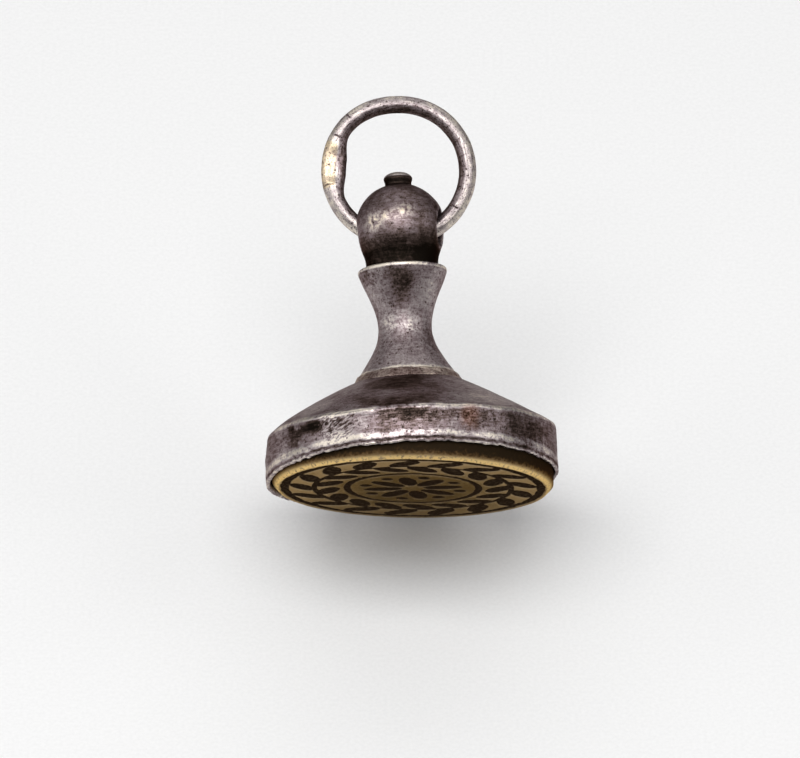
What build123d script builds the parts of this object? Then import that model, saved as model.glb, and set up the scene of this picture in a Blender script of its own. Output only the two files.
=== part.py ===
from build123d import *
from math import cos, pi, radians, sin, sqrt
import os

# Wax seal stamp: an engraved brass matrix in a silver mount, topped by a bored ball that carries a wire ring.
# It stands on its engraved face at z = 0 with its axis along +Z, and the ring swings about the bore, along X.
# All sizes are in millimetres and all leans in degrees.

# Fits
fit_gap = 0.05              # room round a peg, disc or filling that is soldered or bedded in place
ring_clearance = 0.15       # room between the ring's wire and the bore it swings in

# Base: silver band and the brass matrix set in it
band_diameter = 28.0
band_wall = 0.4
band_top = 4.6              # height of the band's upper edge over the seal face
band_edge_low = 0.17        # the hand-cut lower edge slants between these two heights
band_edge_high = 2.07
band_edge_turn = -57.0      # direction in which the lower edge rises, from +X towards +Y
matrix_height = 3.0
matrix_chamfer = 0.5
lug_diameter = 5.0          # boss on the back of the matrix that keys into the filling
lug_height = 2.5

# Engraving on the seal face, cut to one depth
engraving_depth = 0.35
border_inset = 0.75         # edge of the face to the middle of the border groove
border_width = 0.35
wreath_inset = 3.5          # edge of the face to the wreath's twig
twig_width = 0.25
leaf_length = 3.0
leaf_width = 0.85
leaf_pitch = 3.2            # spacing of the leaves along the twig
leaf_offset = 1.15          # twig to the middle of a leaf
leaf_lean = 35.0            # lean of a leaf away from the twig
medallion_inset = 6.75      # edge of the face to the ring round the rosette
medallion_width = 0.3
petal_count = 8
petal_length = 3.4
petal_width = 1.2
petal_reach = 2.9           # middle of the rosette to the middle of a petal
bead_diameter = 0.8
bead_reach = 4.4            # middle of the rosette to the beads between the petals

# Dome of silver sheet that closes the base
rim_setback = 0.1           # dome's rim to the band's outside
rim_height = 0.4
dome_rise = 4.9
dome_bulge = 0.2            # height of the dome's arc over its straight chord
dome_wall = 0.9             # thickness of the crown that carries the stem
crown_setback = 0.4         # inner corner of the crown to its outer edge

# Stem, solid silver, waisted, with a flared collar
tenon_diameter = 4.4
tenon_projection = 1.0      # tenon's length below the crown
foot_diameter = 9.32
foot_height = 0.8
foot_lean = 33.0
waist_diameter = 5.12
waist_height = 4.6          # top of the foot to the waist
flare_height = 5.45         # waist to the collar's lower edge
collar_diameter = 8.56
collar_lean = 20.0
collar_edge_height = 0.35
collar_bevel_height = 0.6
collar_bevel_width = 0.65

# Fillet of solder round the stem's foot
solder_width = 0.6
solder_lip = 0.08           # blunt edge where the fillet thins out

# Dowel that joins stem and ball
dowel_diameter = 2.5
dowel_depth = 3.5           # dowel's length in the stem

# Ball with its cross bore
ball_diameter = 8.7
neck_setback = 0.9          # neck's side to the ball's widest
neck_height = 0.8
bore_drop = 0.2             # bore's axis below the ball's middle
bore_web = 0.4              # metal left between the bore and the dowel
mouth_round = 0.25

# Button on top of the ball
button_neck_diameter = 2.54
button_neck_height = 0.3
button_diameter = 2.78
button_belly_height = 0.33
button_crown_height = 0.74
shank_diameter = 1.4
shank_depth = 1.2           # shank's length in the ball

# Ring of wire with a thickened soldered joint
ring_diameter = 13.2        # across the middle of the wire
wire_diameter = 1.65
ring_turn = 7.0             # the loose ring stands askew in its bore, from +X towards +Y
ring_slip = 0.15            # ring's middle along the bore, off the stem's axis
joint_angle = 175.0         # joint's place round the ring, from +X towards +Z
joint_spread = 54.0         # angle that the joint takes up
joint_thickness = 2.4       # across the joint, in the plane of the ring
joint_width = 1.5           # across the joint, square to the ring
joint_inset = 0.3           # joint's middle towards the ring's middle
joint_sections = 5          # outlines that the joint's swelling passes through

# Radii
band_radius = band_diameter / 2
band_inner_radius = band_radius - band_wall
matrix_radius = band_inner_radius - fit_gap
face_radius = matrix_radius - matrix_chamfer
lug_radius = lug_diameter / 2
rim_radius = band_radius - rim_setback
foot_radius = foot_diameter / 2
crown_radius = foot_radius + solder_width
crown_inner_radius = crown_radius - crown_setback
tenon_radius = tenon_diameter / 2
waist_radius = waist_diameter / 2
collar_radius = collar_diameter / 2
dowel_radius = dowel_diameter / 2
ball_radius = ball_diameter / 2
neck_radius = ball_radius - neck_setback
button_neck_radius = button_neck_diameter / 2
button_radius = button_diameter / 2
shank_radius = shank_diameter / 2
ring_radius = ring_diameter / 2
wire_radius = wire_diameter / 2

# Heights, stacked from the seal face up
lug_top = matrix_height + lug_height
rim_top = band_top + rim_height
crown_top = rim_top + dome_rise
crown_underside = crown_top - dome_wall
tenon_end = crown_underside - tenon_projection
foot_top = crown_top + foot_height
waist_level = foot_top + waist_height
collar_level = waist_level + flare_height
collar_edge_top = collar_level + collar_edge_height
stem_top = collar_edge_top + collar_bevel_height
neck_top = stem_top + neck_height
ball_level = neck_top + sqrt(ball_radius**2 - neck_radius**2)
land_level = ball_level + sqrt(ball_radius**2 - button_neck_radius**2)

# The bore is as wide as the wire and the ring's curve need inside the ball
bore_level = ball_level - bore_drop
ring_sagitta = ring_radius - sqrt(ring_radius**2 - ball_radius**2)
bore_radius = (wire_diameter + ring_sagitta) / 2 + ring_clearance
ring_level = bore_level - bore_radius + ring_clearance + wire_radius + ring_radius
dowel_end = bore_level - bore_radius - bore_web

# Seal matrix: a turned disc with a bevelled face and a lug behind it
with BuildPart() as seal_matrix:
    with BuildSketch(Plane.XZ):
        with BuildLine():
            Polyline(
                (0, 0),
                (face_radius, 0),
                (matrix_radius, matrix_chamfer),
                (matrix_radius, matrix_height),
                (lug_radius, matrix_height),
                (lug_radius, lug_top),
                (0, lug_top),
                close=True,
            )
        make_face()
    revolve(axis=Axis.Z)

    # Border, twig and medallion grooves, then the leaves, petals and beads
    border_radius = face_radius - border_inset
    twig_radius = face_radius - wreath_inset
    medallion_radius = face_radius - medallion_inset
    leaf_count = round(2 * pi * twig_radius / leaf_pitch)
    half_leaf_step = 180 / leaf_count
    half_petal_step = 180 / petal_count
    with BuildSketch(Plane.XY):
        for groove_radius, groove_width in (
            (border_radius, border_width),
            (twig_radius, twig_width),
            (medallion_radius, medallion_width),
        ):
            Circle(groove_radius + groove_width / 2)
            Circle(groove_radius - groove_width / 2, mode=Mode.SUBTRACT)
        with PolarLocations(twig_radius + leaf_offset, leaf_count):
            Ellipse(leaf_length / 2, leaf_width / 2, rotation=90 - leaf_lean)
        with PolarLocations(twig_radius - leaf_offset, leaf_count, start_angle=half_leaf_step):
            Ellipse(leaf_length / 2, leaf_width / 2, rotation=90 + leaf_lean)
        with PolarLocations(petal_reach, petal_count):
            Ellipse(petal_length / 2, petal_width / 2)
        with PolarLocations(bead_reach, petal_count, start_angle=half_petal_step):
            Circle(bead_diameter / 2)
    extrude(amount=engraving_depth, mode=Mode.SUBTRACT)

# Band: a thin strip of silver bent round the matrix, its lower edge cut on a slant
with BuildPart() as bezel_band:
    with BuildSketch(Plane.XY):
        Circle(band_radius)
        Circle(band_inner_radius, mode=Mode.SUBTRACT)
    extrude(amount=band_top)
    edge_middle = Vector(0, 0, (band_edge_low + band_edge_high) / 2)
    edge_slope = (band_edge_high - band_edge_low) / band_diameter
    edge_normal = Vector(-edge_slope, 0, 1).rotate(Axis.Z, band_edge_turn)
    split(bisect_by=Plane(origin=edge_middle, z_dir=edge_normal), keep=Keep.TOP)

# Dome: raised silver sheet from the band's top edge to the stem's foot, with a hole for the tenon
with BuildPart() as dome_shell:
    with BuildSketch(Plane.XZ):
        with BuildLine():
            Line((band_inner_radius, band_top), (rim_radius, band_top))
            Line((rim_radius, band_top), (rim_radius, rim_top))
            SagittaArc((rim_radius, rim_top), (crown_radius, crown_top), -dome_bulge)
            Line((crown_radius, crown_top), (tenon_radius + fit_gap, crown_top))
            Line((tenon_radius + fit_gap, crown_top), (tenon_radius + fit_gap, crown_underside))
            Line((tenon_radius + fit_gap, crown_underside), (crown_inner_radius, crown_underside))
            SagittaArc((crown_inner_radius, crown_underside), (band_inner_radius, band_top), dome_bulge)
        make_face()
    revolve(axis=Axis.Z)

# Filling under the dome, bedded on the matrix and cast round its lug and the tenon
with BuildPart() as cement_bed:
    bed_radius = band_inner_radius - fit_gap
    bed_crown_radius = crown_inner_radius - fit_gap
    bed_top = crown_underside - fit_gap
    bed_edge = band_top - fit_gap
    with BuildSketch(Plane.XZ):
        with BuildLine():
            Polyline(
                (bed_crown_radius, bed_top),
                (tenon_radius + fit_gap, bed_top),
                (tenon_radius + fit_gap, tenon_end - fit_gap),
                (0, tenon_end - fit_gap),
                (0, lug_top + fit_gap),
                (lug_radius + fit_gap, lug_top + fit_gap),
                (lug_radius + fit_gap, matrix_height),
                (bed_radius, matrix_height),
                (bed_radius, bed_edge),
            )
            SagittaArc((bed_radius, bed_edge), (bed_crown_radius, bed_top), -dome_bulge)
        make_face()
    revolve(axis=Axis.Z)

# Stem: tenon, foot, waist and collar turned from one bar, with a socket for the dowel
with BuildPart() as stem:
    foot_tangent = (-sin(radians(foot_lean)), cos(radians(foot_lean)))
    collar_tangent = (sin(radians(collar_lean)), cos(radians(collar_lean)))
    upright = (0, 1)
    with BuildSketch(Plane.XZ):
        with BuildLine():
            Polyline(
                (0, tenon_end),
                (tenon_radius, tenon_end),
                (tenon_radius, crown_top),
                (foot_radius, crown_top),
                (foot_radius, foot_top),
            )
            Spline(
                (foot_radius, foot_top),
                (waist_radius, waist_level),
                tangents=(foot_tangent, upright),
            )
            Spline(
                (waist_radius, waist_level),
                (collar_radius, collar_level),
                tangents=(upright, collar_tangent),
            )
            Polyline(
                (collar_radius, collar_level),
                (collar_radius, collar_edge_top),
                (collar_radius - collar_bevel_width, stem_top),
                (0, stem_top),
                (0, tenon_end),
            )
        make_face()
    revolve(axis=Axis.Z)
    with BuildSketch(Plane.XY.offset(stem_top)):
        Circle(dowel_radius + fit_gap)
    extrude(amount=-dowel_depth - fit_gap, mode=Mode.SUBTRACT)

# Solder: a fillet run round the stem's foot on the dome's crown
with BuildPart() as solder_seam:
    solder_inner_radius = foot_radius + fit_gap
    with BuildSketch(Plane.XZ):
        with BuildLine():
            Polyline(
                (solder_inner_radius, crown_top),
                (crown_radius, crown_top),
                (crown_radius, crown_top + solder_lip),
                (solder_inner_radius + solder_lip, foot_top),
                (solder_inner_radius, foot_top),
                close=True,
            )
        make_face()
    revolve(axis=Axis.Z)

# Dowel across the joint of stem and ball
with BuildPart() as ball_dowel:
    with BuildSketch(Plane.XY.offset(stem_top - dowel_depth)):
        Circle(dowel_radius)
    extrude(amount=dowel_depth + dowel_end - stem_top)

# Ball: a neck, a sphere with a flat land for the button, and a bore with rounded mouths for the ring
with BuildPart() as ball_finial:
    with BuildSketch(Plane.XZ):
        with BuildLine():
            Line((0, land_level), (0, stem_top))
            Line((0, stem_top), (neck_radius, stem_top))
            Line((neck_radius, stem_top), (neck_radius, neck_top))
            ThreePointArc((neck_radius, neck_top), (ball_radius, ball_level), (button_neck_radius, land_level))
            Line((button_neck_radius, land_level), (0, land_level))
        make_face()
    revolve(axis=Axis.Z)
    with BuildSketch(Plane.YZ):
        with Locations((0, bore_level)):
            Circle(bore_radius)
    extrude(amount=ball_diameter, both=True, mode=Mode.SUBTRACT)
    bore_wall = ball_finial.faces().filter_by(GeomType.CYLINDER).sort_by(Axis.Z)[-1]
    fillet(bore_wall.edges().filter_by(GeomType.LINE, reverse=True), radius=mouth_round)
    with BuildSketch(Plane.XY.offset(stem_top)):
        Circle(dowel_radius + fit_gap)
    extrude(amount=dowel_end + fit_gap - stem_top, mode=Mode.SUBTRACT)
    with BuildSketch(Plane.XY.offset(land_level)):
        Circle(shank_radius + fit_gap)
    extrude(amount=-shank_depth - fit_gap, mode=Mode.SUBTRACT)

# Button: a domed head on a short neck, with a shank let into the ball
with BuildPart() as finial_button:
    belly_level = land_level + button_neck_height
    button_level = belly_level + button_belly_height
    button_top = button_level + button_crown_height
    shank_end = land_level - shank_depth
    with BuildSketch(Plane.XZ):
        with BuildLine():
            Polyline(
                (0, button_top),
                (0, shank_end),
                (shank_radius, shank_end),
                (shank_radius, land_level),
                (button_neck_radius, land_level),
                (button_neck_radius, belly_level),
                (button_radius, button_level),
            )
            Spline(
                (button_radius, button_level),
                (0, button_top),
                tangents=((0, 1), (-1, 0)),
            )
        make_face()
    revolve(axis=Axis.Z)


ring_middle = Vector(ring_slip, 0, ring_level)
ring_axis = Axis(ring_middle, Vector(0, -1, 0).rotate(Axis.Z, ring_turn))


def wire_plane(angle, inset):
    """Plane across the ring's wire at an angle round the ring, moved in towards the ring's middle."""
    radial = Vector(cos(radians(angle)), 0, sin(radians(angle))).rotate(Axis.Z, ring_turn)
    along = Vector(-sin(radians(angle)), 0, cos(radians(angle))).rotate(Axis.Z, ring_turn)
    middle = ring_middle + radial * (ring_radius - inset)
    return Plane(origin=middle, x_dir=radial, z_dir=along)


# Ring: round wire, swelling through its soldered joint
with BuildPart() as suspension_ring:
    joint_start = joint_angle - joint_spread / 2
    joint_end = joint_angle + joint_spread / 2
    with BuildSketch(wire_plane(joint_end, 0)):
        Circle(wire_radius)
    revolve(axis=ring_axis, revolution_arc=360 - joint_spread)
    for section in range(joint_sections):
        share = section / (joint_sections - 1)
        swell = sin(pi * share) ** 2
        with BuildSketch(wire_plane(joint_start + share * joint_spread, joint_inset * swell)):
            Ellipse(
                wire_radius + (joint_thickness / 2 - wire_radius) * swell,
                wire_radius + (joint_width / 2 - wire_radius) * swell,
            )
    loft()

# One file for each piece
os.makedirs("parts", exist_ok=True)
pieces = {
    "seal_matrix": seal_matrix,
    "bezel_band": bezel_band,
    "dome_shell": dome_shell,
    "cement_bed": cement_bed,
    "stem": stem,
    "solder_seam": solder_seam,
    "ball_dowel": ball_dowel,
    "ball_finial": ball_finial,
    "finial_button": finial_button,
    "suspension_ring": suspension_ring,
}
for name, piece in pieces.items():
    piece.part.label = name
    export_step(piece.part, f"parts/{name}.step")
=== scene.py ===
"""Looks of a hand-made wax seal: tarnished silver mount, engraved brass face and a wire ring that swings."""

import logging
import math
from dataclasses import dataclass
from enum import Enum
from typing import Callable

import bmesh
import bpy
import numpy as np
from mathutils import Matrix, Vector


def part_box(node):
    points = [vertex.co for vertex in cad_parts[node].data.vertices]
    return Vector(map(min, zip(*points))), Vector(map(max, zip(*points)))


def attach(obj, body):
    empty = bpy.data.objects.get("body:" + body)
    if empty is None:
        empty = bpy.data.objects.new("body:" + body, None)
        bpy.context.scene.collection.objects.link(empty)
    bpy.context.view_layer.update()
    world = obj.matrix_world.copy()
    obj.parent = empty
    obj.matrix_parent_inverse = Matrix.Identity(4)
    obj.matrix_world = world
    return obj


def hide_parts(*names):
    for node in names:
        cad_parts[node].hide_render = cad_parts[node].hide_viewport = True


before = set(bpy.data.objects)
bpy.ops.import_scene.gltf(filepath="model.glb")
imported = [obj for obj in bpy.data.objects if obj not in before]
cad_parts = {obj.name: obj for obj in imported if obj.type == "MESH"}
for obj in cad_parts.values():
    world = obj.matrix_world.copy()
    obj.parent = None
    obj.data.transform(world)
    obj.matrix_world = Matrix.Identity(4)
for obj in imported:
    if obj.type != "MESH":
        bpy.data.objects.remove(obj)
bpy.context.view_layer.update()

MM = 0.001  # one millimetre, in the frame's metres
FINE = 0.01  # spacing of the points that an outline is smoothed on, in millimetres
WELD = 0.002 * MM  # points closer than this become one
MIDDLE = 0.5  # value that the noise swings about
LOG = logging.getLogger("wax_seal")

Array = np.ndarray
Material = bpy.types.Material
Object = bpy.types.Object
Colour = tuple[float, float, float]
Point = tuple[float, float]
Span = tuple[float, float]  # where a soft step starts and where it is complete
Shape = Callable[[Array, Array, Array], tuple[Array, Array]]
Rub = Callable[[Array, Array], Array]

WHITE: Colour = (1.0, 1.0, 1.0)
WARM_HIGHLIGHT: Colour = (1.0, 0.95, 0.85)  # tint of the painted highlights on the ball
REDDISH: Colour = (1.15, 0.9, 0.75)  # tint of a spot in the band's tarnish


class Body(Enum):
    """Bodies of the frame that pieces ride on."""

    STAMP = "stamp"
    RING = "ring"


class Slot(Enum):
    """Material slots of the record."""

    BRASS = "matrix_brass"
    SILVER = "mount_silver"
    RING = "ring_silver"
    SOLDER = "solder"
    CEMENT = "cement"


class Mark(Enum):
    """Marks on a surface that shapes leave for the finishes, each from 0 to 1."""

    # wear; on the disc's bevel, the band, the collar's rim, the button's crown and the ring's outside it is
    # also a painted highlight
    WEAR_AND_SHEEN = "wear"
    # dirt in hollows; on the disc's side, round the ball's neck and inside the ring it is painted shade
    GRIME_AND_SHADE = "grime_and_shade"
    PIT = "pit"
    CUT = "cut"


class Manner(Enum):
    """Ways in which a patch breaks up towards its edge."""

    SOFT = "fading evenly"
    CLOUDY = "cloudy"
    BRUSHED = "drawn out into slanting strokes"
    GRAINY = "broken into grains"


class Field:
    """One value in a node tree, which Python's operators combine with others."""

    def __init__(self, sheet: "NodeSheet", socket: bpy.types.NodeSocket) -> None:
        """Keep the sheet that the value belongs to and the socket that gives it."""
        self.sheet = sheet
        self.socket = socket

    def __add__(self, other: "Field | float") -> "Field":
        """Sum of two values."""
        return self.sheet.math("ADD", self, other)

    def __sub__(self, other: "Field | float") -> "Field":
        """Difference of two values."""
        return self.sheet.math("SUBTRACT", self, other)

    def __rsub__(self, other: float) -> "Field":
        """A plain number less this value."""
        return self.sheet.math("SUBTRACT", other, self)

    def __mul__(self, other: "Field | float") -> "Field":
        """Product of two values."""
        return self.sheet.math("MULTIPLY", self, other)

    def __truediv__(self, other: "Field | float") -> "Field":
        """Quotient of two values."""
        return self.sheet.math("DIVIDE", self, other)


@dataclass(frozen=True)
class Clouds:
    """A cloudy noise, with the size of its clouds in metres."""

    size: Field | float
    detail: float = 3.0  # number of finer layers
    roughness: float = 0.5  # strength of the finer layers


class NodeSheet:
    """A node tree, with short calls for the nodes that shapes and finishes share."""

    def __init__(self, tree: bpy.types.NodeTree) -> None:
        """Keep the tree that the nodes go into."""
        self.tree = tree

    def feed(self, socket: bpy.types.NodeSocket, value: object) -> None:
        """Give a socket its value.

        Args:
            socket: The input.
            value: A field, which is linked, or a plain value, which is set.
        """
        if isinstance(value, Field):
            self.tree.links.new(value.socket, socket)
        else:
            socket.default_value = value

    def node(self, kind: str, inputs: dict | None = None, **settings: object) -> bpy.types.Node:
        """Add a node.

        Args:
            kind: The node's type.
            inputs: Fields or plain values, by the socket's name or place.
            settings: The node's own options.

        Returns:
            The new node.
        """
        node = self.tree.nodes.new(kind)
        for option, value in settings.items():
            setattr(node, option, value)
        for key, value in (inputs or {}).items():
            self.feed(node.inputs[key], value)
        return node

    def field(self, kind: str, inputs: dict | None = None, output: int | str = 0,
              **settings: object) -> Field:
        """Add a node and return one of its outputs, with the arguments of node()."""
        return Field(self, self.node(kind, inputs, **settings).outputs[output])

    def math(self, operation: str, *values: Field | float) -> Field:
        """Add a math node on the values."""
        return self.field("ShaderNodeMath", dict(enumerate(values)), operation=operation)

    def vector(self, operation: str, *values: Field | tuple, output: int | str = 0) -> Field:
        """Add a vector math node on the values."""
        return self.field("ShaderNodeVectorMath", dict(enumerate(values)), output, operation=operation)

    def length(self, place: Field) -> Field:
        """The length of a vector."""
        return self.vector("LENGTH", place, output="Value")

    def scaled(self, direction: Field, length: Field | float) -> Field:
        """A vector times a number."""
        return self.field("ShaderNodeVectorMath", {"Vector": direction, "Scale": length}, operation="SCALE")

    def parts(self, place: Field) -> tuple[Field, Field, Field]:
        """The x, y and z of a vector."""
        node = self.node("ShaderNodeSeparateXYZ", {0: place})
        return tuple(Field(self, socket) for socket in node.outputs)

    def joined(self, x: Field | float, y: Field | float, z: Field | float) -> Field:
        """A vector from its x, y and z."""
        return self.field("ShaderNodeCombineXYZ", {0: x, 1: y, 2: z})

    def smooth(self, value: Field, low: Field | float, high: Field | float) -> Field:
        """A soft step from 0 at low to 1 at high, or falling where low is the larger."""
        return self.field("ShaderNodeMapRange", {0: value, 1: low, 2: high}, interpolation_type="SMOOTHSTEP")

    def blend(self, share: Field, start: Field | float, end: Field | float) -> Field:
        """A value that goes from start to end as share goes from 0 to 1."""
        return self.field("ShaderNodeMapRange", {0: share, 3: start, 4: end})

    def noise(self, place: Field, clouds: Clouds) -> Field:
        """Read a cloudy noise, which swings about MIDDLE.

        Args:
            place: Where it is read.
            clouds: Its size and detail.

        Returns:
            The noise.
        """
        plain = isinstance(clouds.size, float)
        scale = 1.0 / clouds.size if plain else self.math("DIVIDE", 1.0, clouds.size)
        inputs = {"Vector": place, "Scale": scale, "Detail": clouds.detail, "Roughness": clouds.roughness}
        return self.field("ShaderNodeTexNoise", inputs, "Fac")


class GeometrySheet(NodeSheet):
    """A Geometry Nodes tree with named inputs, which is run on a piece and baked into its mesh."""

    KINDS = {float: "NodeSocketFloat", int: "NodeSocketInt", type(None): "NodeSocketMaterial"}

    def __init__(self, name: str, inputs: dict[str, float | int | None]) -> None:
        """Start the tree.

        Args:
            name: The tree's name.
            inputs: The named inputs with their defaults; None stands for a material.
        """
        super().__init__(bpy.data.node_groups.new(name, "GeometryNodeTree"))
        interface = self.tree.interface
        interface.new_socket("Geometry", in_out="INPUT", socket_type="NodeSocketGeometry")
        interface.new_socket("Geometry", in_out="OUTPUT", socket_type="NodeSocketGeometry")
        self.identifiers: dict[str, str] = {}
        for label, default in inputs.items():
            socket = interface.new_socket(label, in_out="INPUT", socket_type=self.KINDS[type(default)])
            if default is not None:
                socket.default_value = default
            self.identifiers[label] = socket.identifier
        self.entry = self.node("NodeGroupInput")
        self.place = self.field("GeometryNodeInputPosition")

    def given(self, label: str) -> Field:
        """One of the tree's inputs."""
        return Field(self, self.entry.outputs[label])

    def marked(self, geometry: Field, mark: Mark, value: Field) -> Field:
        """Store a mark on the points of a geometry."""
        inputs = {"Geometry": geometry, "Name": mark.value, "Value": value}
        return self.field("GeometryNodeStoreNamedAttribute", inputs, data_type="FLOAT", domain="POINT")

    def close(self, geometry: Field) -> None:
        """End the tree: realize, smooth and dress the geometry with the material that is given.

        Args:
            geometry: What the tree has made.
        """
        solid = self.field("GeometryNodeRealizeInstances", {"Geometry": geometry})
        even = self.field("GeometryNodeSetShadeSmooth", {"Geometry": solid})
        inputs = {"Geometry": even, "Material": self.given("Material")}
        self.node("NodeGroupOutput", {0: self.field("GeometryNodeSetMaterial", inputs)})

    def bake(self, piece: Object, **values: object) -> None:
        """Run the tree on a piece and keep the result as its plain mesh.

        Args:
            piece: The object to run the tree on.
            values: The tree's inputs, with underscores for spaces in their names.
        """
        modifier = piece.modifiers.new(self.tree.name, "NODES")
        modifier.node_group = self.tree
        for label, value in values.items():
            modifier[self.identifiers[label.replace("_", " ")]] = value
        graph = bpy.context.evaluated_depsgraph_get()
        source = piece.evaluated_get(graph)
        mesh = bpy.data.meshes.new_from_object(source, preserve_all_data_layers=True, depsgraph=graph)
        piece.modifiers.remove(modifier)
        piece.data = mesh


class ShaderSheet(NodeSheet):
    """A material's node tree, read on the piece's own coordinates."""

    def __init__(self, name: str) -> None:
        """Start a material with an empty tree.

        Args:
            name: The material's name.
        """
        self.material = bpy.data.materials.new(name)
        self.material.use_nodes = True
        super().__init__(self.material.node_tree)
        self.tree.nodes.clear()
        self.place = self.field("ShaderNodeTexCoord", output="Object")

    def mark(self, mark: Mark) -> Field:
        """A mark that the shape left on the surface."""
        return self.field("ShaderNodeAttribute", output="Fac", attribute_name=mark.value)

    def stretched(self, scale: tuple[float, float, float]) -> Field:
        """The piece's coordinates, each multiplied by its own number."""
        return self.field("ShaderNodeMapping", {"Vector": self.place, "Scale": scale})

    def slanted(self, lean: float, stretch: float) -> Field:
        """The piece's coordinates, drawn out along a line that leans up from the x axis."""
        inputs = {"Vector": self.place, "Rotation": (0.0, -lean, 0.0), "Scale": (stretch, 1.0, 1.0)}
        return self.field("ShaderNodeMapping", inputs, vector_type="TEXTURE")

    def ramp(self, value: Field, stops: tuple[tuple[float, Colour], ...]) -> Field:
        """Colour a value.

        Args:
            value: The value, from 0 to 1.
            stops: Places from 0 to 1 with their colours.

        Returns:
            A colour that runs through the stops.
        """
        node = self.node("ShaderNodeValToRGB", {"Fac": value})
        elements = node.color_ramp.elements
        while len(elements) < len(stops):
            elements.new(1.0)
        for element, (position, colour) in zip(elements, stops):
            element.position = position
            element.color = (*colour, 1.0)
        return Field(self, node.outputs["Color"])

    def multiplied(self, base: Field, factors: tuple[float, float, float]) -> Field:
        """A colour or a place, each part of it multiplied by its own number."""
        return self.vector("MULTIPLY", base, factors)

    def washed(self, share: Field, base: Field, tint: Colour) -> Field:
        """A colour times a tint that comes in by a share from 0 to 1."""
        return self.vector("MULTIPLY", base, self.tinted(share, (*WHITE, 1.0), tint))

    def tinted(self, share: Field, base: Field | tuple, tint: Colour) -> Field:
        """Lay a colour over another.

        Args:
            share: How much of the tint shows, from 0 to 1.
            base: The colour below.
            tint: The colour that is laid over it.

        Returns:
            The mixed colour.
        """
        node = self.node("ShaderNodeMix", data_type="RGBA")
        sockets = (socket for socket in node.inputs if socket.enabled)
        for socket, value in zip(sockets, (share, base, (*tint, 1.0))):
            self.feed(socket, value)
        return Field(self, next(socket for socket in node.outputs if socket.enabled))

    def close(self, height: Field, relief: float, **inputs: object) -> Material:
        """End the material in one shader over a fine relief.

        Args:
            height: The relief's height, from 0 to 1.
            relief: What a height of 1 stands for, in metres.
            inputs: The shader's sockets, with underscores for spaces in their names.

        Returns:
            The material.
        """
        bump = self.field("ShaderNodeBump", {"Height": height, "Distance": relief})
        sockets = {label.replace("_", " "): value for label, value in inputs.items()}
        shader = self.field("ShaderNodeBsdfPrincipled", {**sockets, "Normal": bump})
        self.node("ShaderNodeOutputMaterial", {"Surface": shader})
        return self.material


@dataclass(frozen=True)
class PaintedPatch:
    """A patch added to the metal's tone, placed round the stem's axis in degrees and millimetres; some are
    tarnish or rubbed metal, some are painted highlights and painted shade.
    """

    angle: float
    radius: float
    height: float
    reach: float
    strength: float  # added to the tone of the metal, so that dark patches are below zero
    flatness: float = 1.0  # how many times wider than high it is
    manner: Manner = Manner.CLOUDY
    tint: Colour = WHITE

    def place(self) -> tuple[float, float, float]:
        """Middle of the patch, in metres."""
        angle = math.radians(self.angle)
        return self.radius * math.cos(angle) * MM, self.radius * math.sin(angle) * MM, self.height * MM


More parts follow.
